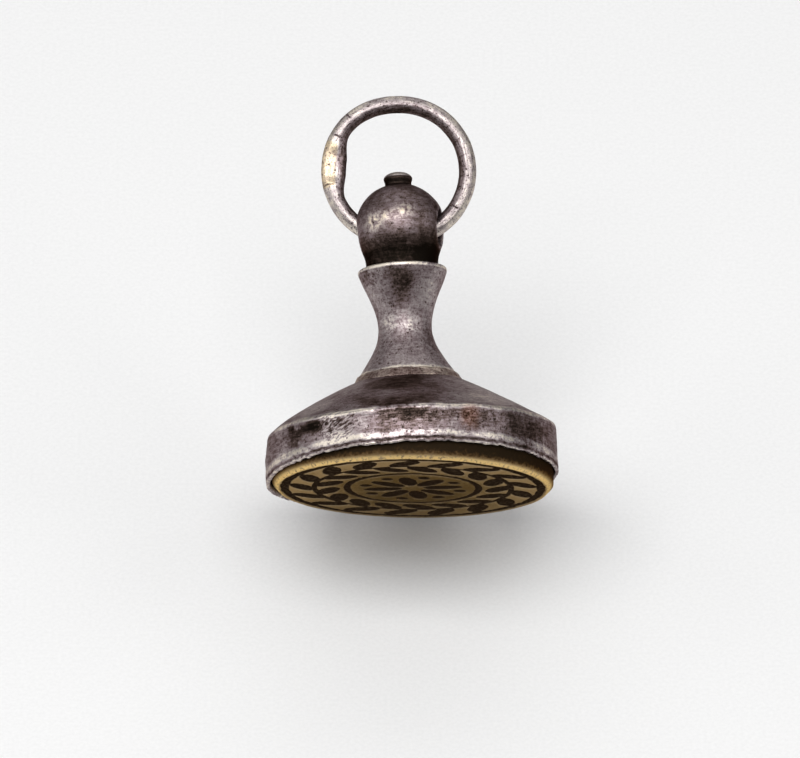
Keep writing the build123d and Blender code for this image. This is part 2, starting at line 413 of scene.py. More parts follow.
@dataclass(frozen=True)
class SilverFinish:
    """Old silver: cloudy tarnish, mottled grain and dark specks, made brighter by the wear mark and darker by
    the grime mark, which on some pieces carry painted highlights and painted shade, and changed by its
    patches.
    """

    name: str
    tone: float = 0.52  # where most of the surface lies between black dirt, 0, and bare silver, 1
    cloud: float = 0.6  # strength of the large clouds of tarnish
    mottle: float = 0.5  # strength of the mottled grain
    streak: float = 0.4  # strength of the level streaks
    speck: float = 0.35  # strength of the finest specks
    wear_gain: float = 0.4
    wear_even: float = 0.5  # share of the wear that grain and clouds don't break up
    grain_even: float = 0.15  # share of a grainy patch that the grain doesn't break up
    grime_and_shade_gain: float = 0.5
    tint: Colour = WHITE
    painted_patches: tuple[PaintedPatch, ...] = ()
    smooth_rough: float = 0.30  # roughness of the brightest metal
    dirt_rough: float = 0.58
    clouds: Clouds = Clouds(3.2 * MM)
    mottling: Clouds = Clouds(0.5 * MM, 4.0, 0.65)
    specks: Clouds = Clouds(0.13 * MM, 2.0)
    streaks: Clouds = Clouds(1.1 * MM, 4.0, 0.6)
    streak_stretch: float = 7.0
    strokes: Clouds = Clouds(0.19 * MM)
    stroke_stretch: float = 16.0
    stroke_lean: float = math.radians(24.0)
    stroke_dark: float = 0.4  # how far the gaps between strokes go below the metal's own tone
    wear_mottle: Span = (0.42, 0.62)  # grain between which wear comes in
    wear_cloud: Span = (0.36, 0.54)  # clouds between which wear comes in
    speck_span: Span = (0.56, 0.68)
    patch_span: Span = (0.42, 0.58)  # grain or strokes between which a patch comes in
    patch_core: float = 0.2  # share of a patch's reach where it is full
    pit_dark: float = 0.85
    pit_dull: float = 0.6  # how much less metallic the dirt in a pit is
    mottle_relief: float = 0.6
    speck_relief: float = 0.4
    edge: Colour = (0.45, 0.40, 0.39)  # colour of the metal's gloss at a low angle
    relief: float = 0.02 * MM

    STOPS = (
        (0.0, (0.010, 0.0075, 0.0055)),
        (0.22, (0.050, 0.034, 0.028)),
        (0.36, (0.130, 0.092, 0.084)),
        (0.5, (0.24, 0.185, 0.192)),
        (0.75, (0.46, 0.405, 0.40)),
        (1.0, (0.80, 0.72, 0.62)),
    )

    def material(self) -> Material:
        """Make the material.

        Returns:
            The material.
        """
        sheet = ShaderSheet(self.name)
        cloud = sheet.noise(sheet.place, self.clouds)
        mottle = sheet.noise(sheet.place, self.mottling)
        speck = sheet.noise(sheet.place, self.specks)
        streak = sheet.noise(self.streak_place(sheet), self.streaks)
        # besides real wear and dirt, the wear and grime marks bring painted highlights and painted shade on
        # some pieces
        wear, grime_and_shade, pit = (sheet.mark(mark) for mark in (Mark.WEAR_AND_SHEEN, Mark.GRIME_AND_SHADE, Mark.PIT))
        tone = (mottle - MIDDLE) * self.mottle + (streak - MIDDLE) * self.streak
        tone = tone + (cloud - MIDDLE) * self.cloud + self.tone
        rubbed = wear * sheet.blend(sheet.smooth(mottle, *self.wear_mottle), self.wear_even, 1.0)
        rubbed = rubbed * sheet.blend(sheet.smooth(cloud, *self.wear_cloud), self.wear_even, 1.0)
        tone = tone + rubbed * self.wear_gain - grime_and_shade * self.grime_and_shade_gain
        tone = tone - sheet.smooth(speck, *self.speck_span) * self.speck
        patches = [self.patch(sheet, stain, cloud, mottle) for stain in self.painted_patches]
        for stain, patch in zip(self.painted_patches, patches):
            tone = tone + patch * stain.strength
        tone = tone * (1.0 - pit * self.pit_dark)
        colour = self.colour(sheet, tone)
        for stain, patch in zip(self.painted_patches, patches):
            if stain.tint != WHITE:
                colour = sheet.washed(patch, colour, stain.tint)
        height = mottle * self.mottle_relief + speck * self.speck_relief
        return sheet.close(
            height, self.relief, Base_Color=colour, Metallic=1.0 - pit * self.pit_dull,
            Roughness=sheet.blend(tone, self.dirt_rough, self.smooth_rough), Specular_Tint=(*self.edge, 1.0),
        )

    def patch(self, sheet: ShaderSheet, stain: PaintedPatch, cloud: Field, mottle: Field) -> Field:
        """Lay out one stain.

        Args:
            sheet: The material's sheet.
            stain: The stain.
            cloud: The large clouds, which bend its edge.
            mottle: The grain, which breaks it up.

        Returns:
            Its share at each place, from 0 outside it to 1 in its middle.
        """
        reach = stain.reach * MM
        offset = sheet.vector("SUBTRACT", sheet.place, stain.place())
        away = sheet.length(sheet.multiplied(offset, (1.0, 1.0, stain.flatness)))
        edge = cloud - MIDDLE
        if stain.manner in (Manner.CLOUDY, Manner.GRAINY):
            edge = edge + mottle - MIDDLE
        patch = sheet.smooth(away + edge * reach, reach, reach * self.patch_core)
        if stain.manner is Manner.GRAINY:
            return patch * sheet.blend(sheet.smooth(mottle, *self.patch_span), self.grain_even, 1.0)
        if stain.manner is Manner.BRUSHED:
            stroke = sheet.noise(sheet.slanted(self.stroke_lean, self.stroke_stretch), self.strokes)
            return patch * (sheet.smooth(stroke, *self.patch_span) - self.stroke_dark)
        return patch

    def colour(self, sheet: ShaderSheet, tone: Field) -> Field:
        """Colour of the metal at the given tone."""
        return sheet.multiplied(sheet.ramp(tone, self.STOPS), self.tint)

    def streak_place(self, sheet: ShaderSheet) -> Field:
        """Coordinates that draw the streaks out level, round the axis."""
        return sheet.stretched((1.0, 1.0, self.streak_stretch))


@dataclass(frozen=True)
class RingFinish(SilverFinish):
    """Silver of the ring, with its streaks drawn out along the wire and its joint of a warmer solder."""

    level: float = 30.73  # height of the ring's middle, in millimetres
    lap: float = 6.0  # radius on which lengths along the wire are measured, in millimetres
    joint_tint: Colour = (0.93, 0.84, 0.68)
    joint_wear: Span = (0.65, 0.95)  # wear between which the joint's colour comes in

    def colour(self, sheet: ShaderSheet, tone: Field) -> Field:
        """Colour the metal, tinted where the joint is rubbed.

        Args:
            sheet: The material's sheet.
            tone: The metal's tone.

        Returns:
            The colour.
        """
        plain = super().colour(sheet, tone)
        joint = sheet.smooth(sheet.mark(Mark.WEAR_AND_SHEEN), *self.joint_wear)
        return sheet.washed(joint, plain, self.joint_tint)

    def streak_place(self, sheet: ShaderSheet) -> Field:
        """Draw the streaks out along the wire.

        Args:
            sheet: The material's sheet.

        Returns:
            Coordinates for the streaks.
        """
        x, y, z = sheet.parts(sheet.place)
        up = z - self.level * MM
        reach = sheet.math("SQRT", x * x + up * up) * self.streak_stretch
        turn = sheet.math("ARCTAN2", up, x) * (self.lap * MM)
        return sheet.joined(reach, y * self.streak_stretch, turn)


@dataclass(frozen=True)
class BrassFinish:
    """Engraved brass: tan lands, black cuts, a bevel of rubbed brass painted bright with a highlight, and a
    side painted brown to near black as shade.
    """

    name: str
    land: Colour = (0.47, 0.35, 0.21)
    land_dark: Colour = (0.2, 0.145, 0.085)
    # bright gold of the bevel: rubbed brass that also carries a painted highlight
    bevel: Colour = (0.88, 0.65, 0.29)
    # brown and near black of the disc's side, painted shade under the band's lip
    side: Colour = (0.13, 0.07, 0.026)
    side_shadow_dark: Colour = (0.034, 0.022, 0.012)
    cut: Colour = (0.060, 0.035, 0.020)
    sheen: Colour = (0.42, 0.32, 0.20)  # colour of the metal's gloss at a low angle
    clouds: Clouds = Clouds(2.5 * MM, 4.0)
    grains: Clouds = Clouds(0.3 * MM, 4.0, 0.6)
    cloud_share: float = 0.6  # weight of the clouds in the land's colour
    grain_share: float = 0.6
    land_span: Span = (0.4, 0.8)
    rim_gain: float = 0.32  # how much lighter the face is towards its rim
    rim_span: Span = (4.0 * MM, 11.0 * MM)  # from where to where the face gets lighter
    bevel_grain: Span = (0.36, 0.5)  # grain between which the bevel's painted highlight comes in
    side_shade_grain: float = 0.7  # how far the grain breaks up the start of the side's painted shade
    side_shade_start: Span = (0.0, 0.3)  # stretch of the side in which that grain comes in
    # stretches of the side's painted shade over which it turns brown and then near black
    side_shade_span: Span = (0.0, 0.9)
    side_shadow_span: Span = (0.6, 0.95)
    cut_span: Span = (0.0, 0.6)
    cut_grain: Span = (0.3, 0.55)
    cut_least: float = 0.8  # least share of dirt in a cut
    pit_dark: float = 0.8
    land_rough: float = 0.42
    dirt_rough: float = 0.75
    bevel_rough: float = 0.2  # added to the roughness on the bevel
    dirt_gloss: float = 0.0
    relief: float = 0.02 * MM

    def material(self) -> Material:
        """Make the material.

        Returns:
            The material.
        """
        sheet = ShaderSheet(self.name)
        cloud = sheet.noise(sheet.place, self.clouds)
        grain = sheet.noise(sheet.place, self.grains)
        bevel, side, cut, pit = (sheet.mark(mark) for mark in (Mark.WEAR_AND_SHEEN, Mark.GRIME_AND_SHADE, Mark.CUT, Mark.PIT))
        outward = sheet.smooth(sheet.length(sheet.place), *self.rim_span)
        mix = cloud * self.cloud_share + grain * self.grain_share + (outward - MIDDLE) * self.rim_gain
        colour = sheet.ramp(sheet.smooth(mix, *self.land_span), ((0.0, self.land_dark), (1.0, self.land)))
        # painted highlight on the bevel, over its rubbed brass
        colour = sheet.tinted(bevel * sheet.smooth(grain, *self.bevel_grain), colour, self.bevel)
        # painted shade down the side, brown and then near black
        patchy_shade = side + (grain - MIDDLE) * sheet.smooth(side, *self.side_shade_start) * self.side_shade_grain
        colour = sheet.tinted(sheet.smooth(patchy_shade, *self.side_shade_span), colour, self.side)
        colour = sheet.tinted(sheet.smooth(patchy_shade, *self.side_shadow_span), colour, self.side_shadow_dark)
        broken = sheet.blend(sheet.smooth(grain, *self.cut_grain), self.cut_least, 1.0)
        filled = sheet.smooth(cut, *self.cut_span) * broken
        colour = sheet.tinted(filled, colour, self.cut)
        colour = sheet.tinted(pit * self.pit_dark, colour, self.cut)
        rough = sheet.blend(sheet.math("MAXIMUM", filled, side), self.land_rough, self.dirt_rough)
        rough = rough + bevel * (1.0 - side) * self.bevel_rough
        return sheet.close(
            grain, self.relief, Base_Color=colour, Roughness=rough, Metallic=1.0 - filled,
            Specular_IOR_Level=self.dirt_gloss, Specular_Tint=(*self.sheen, 1.0),
        )


@dataclass(frozen=True)
class MattFinish:
    """A dull, rough surface of two mixed colours, such as cement."""

    name: str
    light: Colour
    dark: Colour
    metallic: float
    roughness: float
    grains: Clouds = Clouds(0.3 * MM, 5.0, 0.65)
    grain_span: Span = (0.35, 0.65)
    relief: float = 0.03 * MM

    def material(self) -> Material:
        """Make the material.

        Returns:
            The material.
        """
        sheet = ShaderSheet(self.name)
        grain = sheet.noise(sheet.place, self.grains)
        share = sheet.smooth(grain, *self.grain_span) * (1.0 - sheet.mark(Mark.PIT))
        colour = sheet.ramp(share, ((0.0, self.dark), (1.0, self.light)))
        return sheet.close(
            grain, self.relief, Base_Color=colour, Metallic=self.metallic, Roughness=self.roughness,
        )


def limited(values: Array) -> Array:
    """Values held between 0 and 1."""
    return np.clip(values, 0.0, 1.0)


@dataclass
class Outline:
    """Half outline of a turned piece, counterclockwise in radius and height, in millimetres.

    Wear rounds its corners by softness, and leaves marks of wear on the ridges and of grime in the hollows.
    """

    softness: float
    closed: bool  # a ring that stays off the axis

    STEPS = 48  # points on an arc or a curve
    SHARP = 0.35  # turn within one softness that counts as a full ridge or hollow
    WEAR_SPREAD = 0.12  # how far wear spreads from a ridge
    WEAR_GAIN = 1.6
    GRIME_SPREAD = 0.15  # how far grime spreads from a hollow
    GRIME_GAIN = 1.8
    KERNEL_REACH = 3.5  # spreads that an average takes in to each side
    TINY = 1e-9  # keeps a division from failing where the outline stands still

    def __post_init__(self) -> None:
        """Start with no stretches."""
        self.points: list[Point] = []
        self.spacings: list[tuple[int, float]] = []

    def start(self, radius: float, height: float) -> None:
        """Set the first point."""
        self.points.append((radius, height))

    def line(self, radius: float, height: float, spacing: float) -> None:
        """Go straight to a point.

        Args:
            radius: The point's radius.
            height: The point's height.
            spacing: Spacing of the mesh's rows on the way.
        """
        self.points.append((radius, height))
        self.spacings.append((len(self.points) - 1, spacing))

    def arc(self, radius: float, height: float, bulge: float, spacing: float) -> None:
        """Go to a point on an arc.

        Args:
            radius: The point's radius.
            height: The point's height.
            bulge: How far the arc stands out from its chord, to the right of the way.
            spacing: Spacing of the mesh's rows on the way.
        """
        start = np.array(self.points[-1])
        chord = np.array((radius, height)) - start
        outward = np.array((chord[1], -chord[0])) / np.linalg.norm(chord)
        for share in np.linspace(0.0, 1.0, self.STEPS)[1:]:
            hump = 4.0 * share * (1.0 - share)  # 1 in the middle of the arc
            self.points.append(tuple(start + chord * share + outward * bulge * hump))
        self.spacings.append((len(self.points) - 1, spacing))

    def curve(self, radius: float, height: float, leave: Point, arrive: Point, spacing: float) -> None:
        """Go to a point on a cubic curve.

        Args:
            radius: The point's radius.
            height: The point's height.
            leave: Direction in which the curve leaves.
            arrive: Direction in which it arrives.
            spacing: Spacing of the mesh's rows on the way.
        """
        start = np.array(self.points[-1])
        end = np.array((radius, height))
        length = np.linalg.norm(end - start)
        first = np.array(leave) * length
        last = np.array(arrive) * length
        for t in np.linspace(0.0, 1.0, self.STEPS)[1:]:
            rest = 1.0 - t
            place = start * rest * rest * (1 + 2 * t) + end * t * t * (3 - 2 * t)
            self.points.append(tuple(place + first * t * rest * rest - last * t * t * rest))
        self.spacings.append((len(self.points) - 1, spacing))

    def rows(self) -> tuple[Array, Array, Array]:
        """Smooth the outline and choose the mesh's rows on it.

        Returns:
            The rows' places in radius and height, their wear and their grime.
        """
        corners = np.array(self.points + self.points[:1] if self.closed else self.points)
        travel = np.concatenate([[0.0], np.cumsum(np.linalg.norm(np.diff(corners, axis=0), axis=1))])
        count = int(travel[-1] / FINE)
        along = np.linspace(0.0, travel[-1], count, endpoint=not self.closed)
        dense = np.stack([np.interp(along, travel, corners[:, k]) for k in (0, 1)], axis=1)
        smooth = self._blurred(dense, self.softness)
        first = self._slope(smooth)
        second = self._slope(first)
        speed = np.maximum(np.linalg.norm(first, axis=1) ** 3, self.TINY)
        turn = (first[:, 0] * second[:, 1] - first[:, 1] * second[:, 0]) / speed
        ridge = limited(turn * self.softness / self.SHARP)
        hollow = limited(-turn * self.softness / self.SHARP)
        wear = limited(self._blurred(ridge[:, None], self.WEAR_SPREAD)[:, 0] * self.WEAR_GAIN)
        grime_and_shade = limited(self._blurred(hollow[:, None], self.GRIME_SPREAD)[:, 0] * self.GRIME_GAIN)
        stops: list[float] = []
        begin = 0.0
        for index, spacing in self.spacings:
            end = travel[index]
            stops.extend(np.linspace(begin, end, max(int((end - begin) / spacing), 1), endpoint=False))
            begin = end
        if not self.closed:
            stops.append(travel[-1])
        places = np.stack([np.interp(stops, along, smooth[:, k]) for k in (0, 1)], axis=1)
        return places, np.interp(stops, along, wear), np.interp(stops, along, grime_and_shade)

    def _blurred(self, values: Array, spread: float) -> Array:
        """Average values along the outline.

        Args:
            values: One row for each point of the outline.
            spread: How far an average reaches, in millimetres.

        Returns:
            The averages.
        """
        reach = int(spread * self.KERNEL_REACH / FINE) + 1
        kernel = np.exp(-0.5 * (np.arange(-reach, reach + 1) * FINE / spread) ** 2)
        kernel /= kernel.sum()
        mode = {"mode": "wrap"} if self.closed else {"mode": "reflect", "reflect_type": "odd"}
        padded = np.pad(values, ((reach, reach), (0, 0)), **mode)
        columns = [np.convolve(padded[:, k], kernel, "valid") for k in range(values.shape[1])]
        return np.stack(columns, axis=1)

    def _slope(self, values: Array) -> Array:
        """Work out how fast values change along the outline.

        Args:
            values: One row for each point of the outline.

        Returns:
            Their change for each millimetre.
        """
        if self.closed:
            return (np.roll(values, -1, axis=0) - np.roll(values, 1, axis=0)) / (2 * FINE)
        return np.gradient(values, FINE, axis=0)


def new_piece(name: str, vertices: Array, faces: list, marks: dict[Mark, Array]) -> Object:
    """Make an object from points in millimetres.

    Args:
        name: The object's name.
        vertices: The points.
        faces: The faces, as lists of places among the points.
        marks: Marks for the finish, one value for each point.

    Returns:
        The object, at the origin.
    """
    mesh = bpy.data.meshes.new(name)
    mesh.from_pydata(vertices * MM, [], faces)
    for mark, values in marks.items():
        attribute = mesh.attributes.new(mark.value, "FLOAT", "POINT")
        attribute.data.foreach_set("value", values.astype(np.float32))
    mesh.validate()
    mesh.shade_smooth()
    piece = bpy.data.objects.new(name, mesh)
    bpy.context.scene.collection.objects.link(piece)
    return piece


def empty_piece(name: str) -> Object:
    """Make an object without points, for a tree that makes its own."""
    return new_piece(name, np.zeros((0, 3)), [], {})


def turned(name: str, outline: Outline, segments: int, shape: Shape | None = None,
           rub: Rub | None = None) -> Object:
    """Turn an outline about the stem's axis.

    Args:
        name: The object's name.
        outline: The half outline.
        segments: Number of steps round the axis.
        shape: Changes radius and height by the angle, for work that isn't true.
        rub: Gives the wear at places in radius and height, from that of the ridges.

    Returns:
        The object.
    """
    places, wear, grime_and_shade = outline.rows()
    if rub:
        wear = rub(places, wear)
    angles = np.linspace(0.0, 2 * math.pi, segments, endpoint=False)
    radius = np.repeat(places[:, :1], segments, axis=1)
    height = np.repeat(places[:, 1:], segments, axis=1)
    if shape:
        radius, height = shape(np.broadcast_to(angles, radius.shape), radius, height)
    grid = np.stack([radius * np.cos(angles), radius * np.sin(angles), height], axis=-1)
    count = len(places)
    corner = np.arange(count * segments).reshape(count, segments)
    after = np.roll(corner, -1, axis=1)
    last = count if outline.closed else count - 1
    upper = np.roll(corner, -1, axis=0)[:last]
    upper_after = np.roll(after, -1, axis=0)[:last]
    quads = np.stack([corner[:last], after[:last], upper_after, upper], axis=-1).reshape(-1, 4)
    marks = {Mark.WEAR_AND_SHEEN: np.repeat(wear, segments), Mark.GRIME_AND_SHADE: np.repeat(grime_and_shade, segments)}
    piece = new_piece(name, grid.reshape(-1, 3), quads.tolist(), marks)
    if not outline.closed:
        merge_poles(piece)
    return piece


def merge_poles(piece: Object) -> None:
    """Weld the points that a turned piece has on its axis.

    Args:
        piece: The turned piece.
    """
    work = bmesh.new()
    work.from_mesh(piece.data)
    bmesh.ops.remove_doubles(work, verts=work.verts, dist=WELD)
    work.to_mesh(piece.data)
    work.free()


@dataclass(frozen=True)
class Waver:
    """An uneven line round the axis: a sum of waves with fixed, scattered phases."""

    seed: int
    first: int  # waves in one turn, of the longest kind
    last: int
    swing: float  # size of the longest wave, in millimetres
    fade: float = 0.7  # how fast shorter waves get smaller
    least: float = 0.4  # smallest share of its size that a wave may have

    def __call__(self, angle: Array) -> Array:
        """Follow the line.

        Args:
            angle: Angles round the axis.

        Returns:
            The line's height at each of them.
        """
        scatter = np.random.default_rng(self.seed)
        total = np.zeros_like(angle)
        for count in range(self.first, self.last + 1):
            size = self.swing * (count / self.first) ** -self.fade * scatter.uniform(self.least, 1.0)
            total = total + size * np.sin(count * angle + scatter.uniform(0.0, 2 * math.pi))
        return total


class WeatheredSkin(GeometrySheet):
    """Skin of old metal: scattered pits, broad dents and fine grain, pushed along its own normal."""

    PIT_SIZES = (0.35, 1.5)  # smallest and largest pit, as shares of the pit radius
    PIT_CORE = 0.2  # share of a pit's radius where it is deepest
    SEED_SHIFT = (0.0137, 0.0071)  # how far a step of the seed moves the noise, in metres
    SWING = 2.0  # makes noise that swings by a half to each side swing by one

    def __init__(self) -> None:
        """Build the tree."""
        super().__init__("weathered_skin", {
            "Material": None, "Seed": 1, "Pit Density": 0.5e6, "Pit Radius": 0.1 * MM, "Pit Depth": 0.04 * MM,
            "Dent Size": 3.0 * MM, "Dent Depth": 0.05 * MM, "Grain Size": 0.5 * MM, "Grain Depth": 0.012 * MM,
        })
        skin = self.given("Geometry")
        seed = self.given("Seed")
        points = self.field(
            "GeometryNodeDistributePointsOnFaces",
            {"Mesh": skin, "Density": self.given("Pit Density"), "Seed": seed},
            distribute_method="RANDOM",
        )
        nearest = self.field("GeometryNodeSampleNearest", {"Geometry": points, "Sample Position": self.place})
        middle = self.sampled(points, self.place, nearest, "FLOAT_VECTOR")
        size = self.sampled(points, self.scattered(self.PIT_SIZES, seed), nearest, "FLOAT")
        away = self.vector("DISTANCE", self.place, middle, output="Value")
        pit = self.smooth(away / (self.given("Pit Radius") * size), 1.0, self.PIT_CORE)
        shift = self.joined(seed * self.SEED_SHIFT[0], seed * self.SEED_SHIFT[1], 0.0)
        shifted = self.vector("ADD", self.place, shift)
        dent = self.noise(shifted, Clouds(self.given("Dent Size"), detail=1.0)) - MIDDLE
        grain = self.noise(shifted, Clouds(self.given("Grain Size"), roughness=0.6)) - MIDDLE
        rise = dent * self.given("Dent Depth") * self.SWING + grain * self.given("Grain Depth") * self.SWING
        rise = rise - pit * size * self.given("Pit Depth")
        marked = self.marked(skin, Mark.PIT, pit)
        normal = self.field("GeometryNodeInputNormal")
        inputs = {"Geometry": marked, "Offset": self.scaled(normal, rise)}
        self.close(self.field("GeometryNodeSetPosition", inputs))

    def scattered(self, limits: Span, seed: Field) -> Field:
        """A random number between two limits; sockets 2, 3 and output 1 are the node's plain numbers."""
        inputs = {2: limits[0], 3: limits[1], "Seed": seed}
        return self.field("FunctionNodeRandomValue", inputs, 1, data_type="FLOAT")

    def sampled(self, points: Field, value: Field, index: Field, kind: str) -> Field:
        """A value of one of the points, by its index."""
        inputs = {"Geometry": points, "Value": value, "Index": index}
        return self.field("GeometryNodeSampleIndex", inputs, data_type=kind, domain="POINT")


class EngravedFace(GeometrySheet):
    """Cuts in the seal's face: a border, a wreath on a twig, and a rosette of petals and beads in a ring."""

    SHAKE_ACROSS = Clouds(1.1 * MM, 2.0)  # the graver's unsteady hand, in the two directions of the face
    SHAKE_ALONG = Clouds(0.8 * MM, 2.0)
    UNEVEN = Clouds(1.6 * MM, 2.0)
    LEAST_DEPTH = 0.65  # shallowest cut, as a share of the depth
    MORE_DEPTH = 0.7  # what the noise adds to it
    FACE_LEVEL = (0.02 * MM, 0.01 * MM)  # points below these levels lie on the face
    OVAL_POINTS = 20

    def __init__(self) -> None:
        """Build the tree."""
        super().__init__("engraved_face", {
            "Material": None, "Depth": 0.16 * MM, "Wall": 0.14 * MM, "Shake": 0.26 * MM,
            "Border Radius": 12.25 * MM, "Border Width": 0.6 * MM,
            "Twig Radius": 9.4 * MM, "Twig Width": 0.35 * MM,
            "Leaf Count": 17, "Leaf Length": 3.4 * MM, "Leaf Width": 1.6 * MM,
            "Leaf Offset": 1.2 * MM, "Leaf Lean": math.radians(35.0),
            "Medallion Radius": 6.3 * MM, "Medallion Width": 0.45 * MM,
            "Petal Count": 8, "Petal Length": 3.6 * MM, "Petal Width": 1.5 * MM, "Petal Reach": 2.9 * MM,
            "Bead Diameter": 1.0 * MM, "Bead Reach": 4.6 * MM,
        })
        height = self.parts(self.place)[2]
        shake = self.given("Shake")
        shake_x = (self.noise(self.place, self.SHAKE_ACROSS) - MIDDLE) * shake
        shake_y = (self.noise(self.place, self.SHAKE_ALONG) - MIDDLE) * shake
        drift = self.joined(shake_x, shake_y, 0.0)
        hand_x, hand_y, _ = self.parts(self.vector("ADD", self.place, drift))
        flat = self.joined(hand_x, hand_y, 0.0)
        near = self.field(
            "GeometryNodeProximity",
            {"Geometry": self.motifs(), "Sample Position": flat},
            "Distance",
            target_element="FACES",
        )
        away = self.length(flat)
        for label in ("Border", "Twig", "Medallion"):
            off_line = self.math("ABSOLUTE", away - self.given(f"{label} Radius"))
            near = self.math("MINIMUM", near, off_line - self.given(f"{label} Width") * 0.5)
        cut = self.smooth(near, self.given("Wall"), 0.0) * self.smooth(height, *self.FACE_LEVEL)
        uneven = self.noise(self.place, self.UNEVEN) * self.MORE_DEPTH + self.LEAST_DEPTH
        marked = self.marked(self.given("Geometry"), Mark.CUT, cut)
        offset = self.joined(0.0, 0.0, cut * self.given("Depth") * uneven)
        self.close(self.field("GeometryNodeSetPosition", {"Geometry": marked, "Offset": offset}))

    def motifs(self) -> Field:
        """Lay out the leaves on both sides of the twig, the petals and the beads between them.

        Returns:
            All their ovals, flat on the face.
        """
        quarter = math.pi / 2
        lean = self.given("Leaf Lean")
        twig = self.given("Twig Radius")
        leaf = (self.given("Leaf Length"), self.given("Leaf Width"))
        petal = (self.given("Petal Length"), self.given("Petal Width"))
        bead = (self.given("Bead Diameter"), self.given("Bead Diameter"))
        leaves = self.given("Leaf Count")
        petals = self.given("Petal Count")
        joint = self.node("GeometryNodeJoinGeometry")
        for count, reach, size, turn, late in (
            (leaves, twig + self.given("Leaf Offset"), leaf, quarter - lean, 0.0),
            (leaves, twig - self.given("Leaf Offset"), leaf, lean + quarter, 0.5),
            (petals, self.given("Petal Reach"), petal, 0.0, 0.0),
            (petals, self.given("Bead Reach"), bead, 0.0, 0.5),
        ):
            self.feed(joint.inputs[0], self.round_row(count, reach, size, turn, late))
        return Field(self, joint.outputs[0])

    def round_row(self, count: Field, reach: Field, size: tuple[Field, Field], turn: Field | float,
                  late: float) -> Field:
        """Lay flat ovals in a row round the middle of the face.

        Args:
            count: Number of ovals.
            reach: Middle of the face to the middle of an oval.
            size: Length and width of an oval.
            turn: Turn of each oval's length from the way outwards.
            late: Where the row starts, in steps of the row.

        Returns:
            The realized ovals.
        """
        stations = self.field("GeometryNodeMeshCircle", {"Vertices": count, "Radius": reach})
        outline = {"Vertices": self.OVAL_POINTS, "Radius": 0.5}
        oval = self.field("GeometryNodeMeshCircle", outline, fill_type="NGON")
        step = self.math("DIVIDE", 2 * math.pi, count)
        order = self.field("GeometryNodeInputIndex")
        rotation = self.field("FunctionNodeEulerToRotation", {0: self.joined(0.0, 0.0, order * step + turn)})
        scale = self.joined(size[0], size[1], 1.0)
        inputs = {"Points": stations, "Instance": oval, "Rotation": rotation, "Scale": scale}
        row = self.field("GeometryNodeInstanceOnPoints", inputs)
        solid = self.field("GeometryNodeRealizeInstances", {"Geometry": row})
        whole = self.field("FunctionNodeEulerToRotation", {0: self.joined(0.0, 0.0, step * late)})
        return self.field("GeometryNodeTransform", {"Geometry": solid, "Rotation": whole})


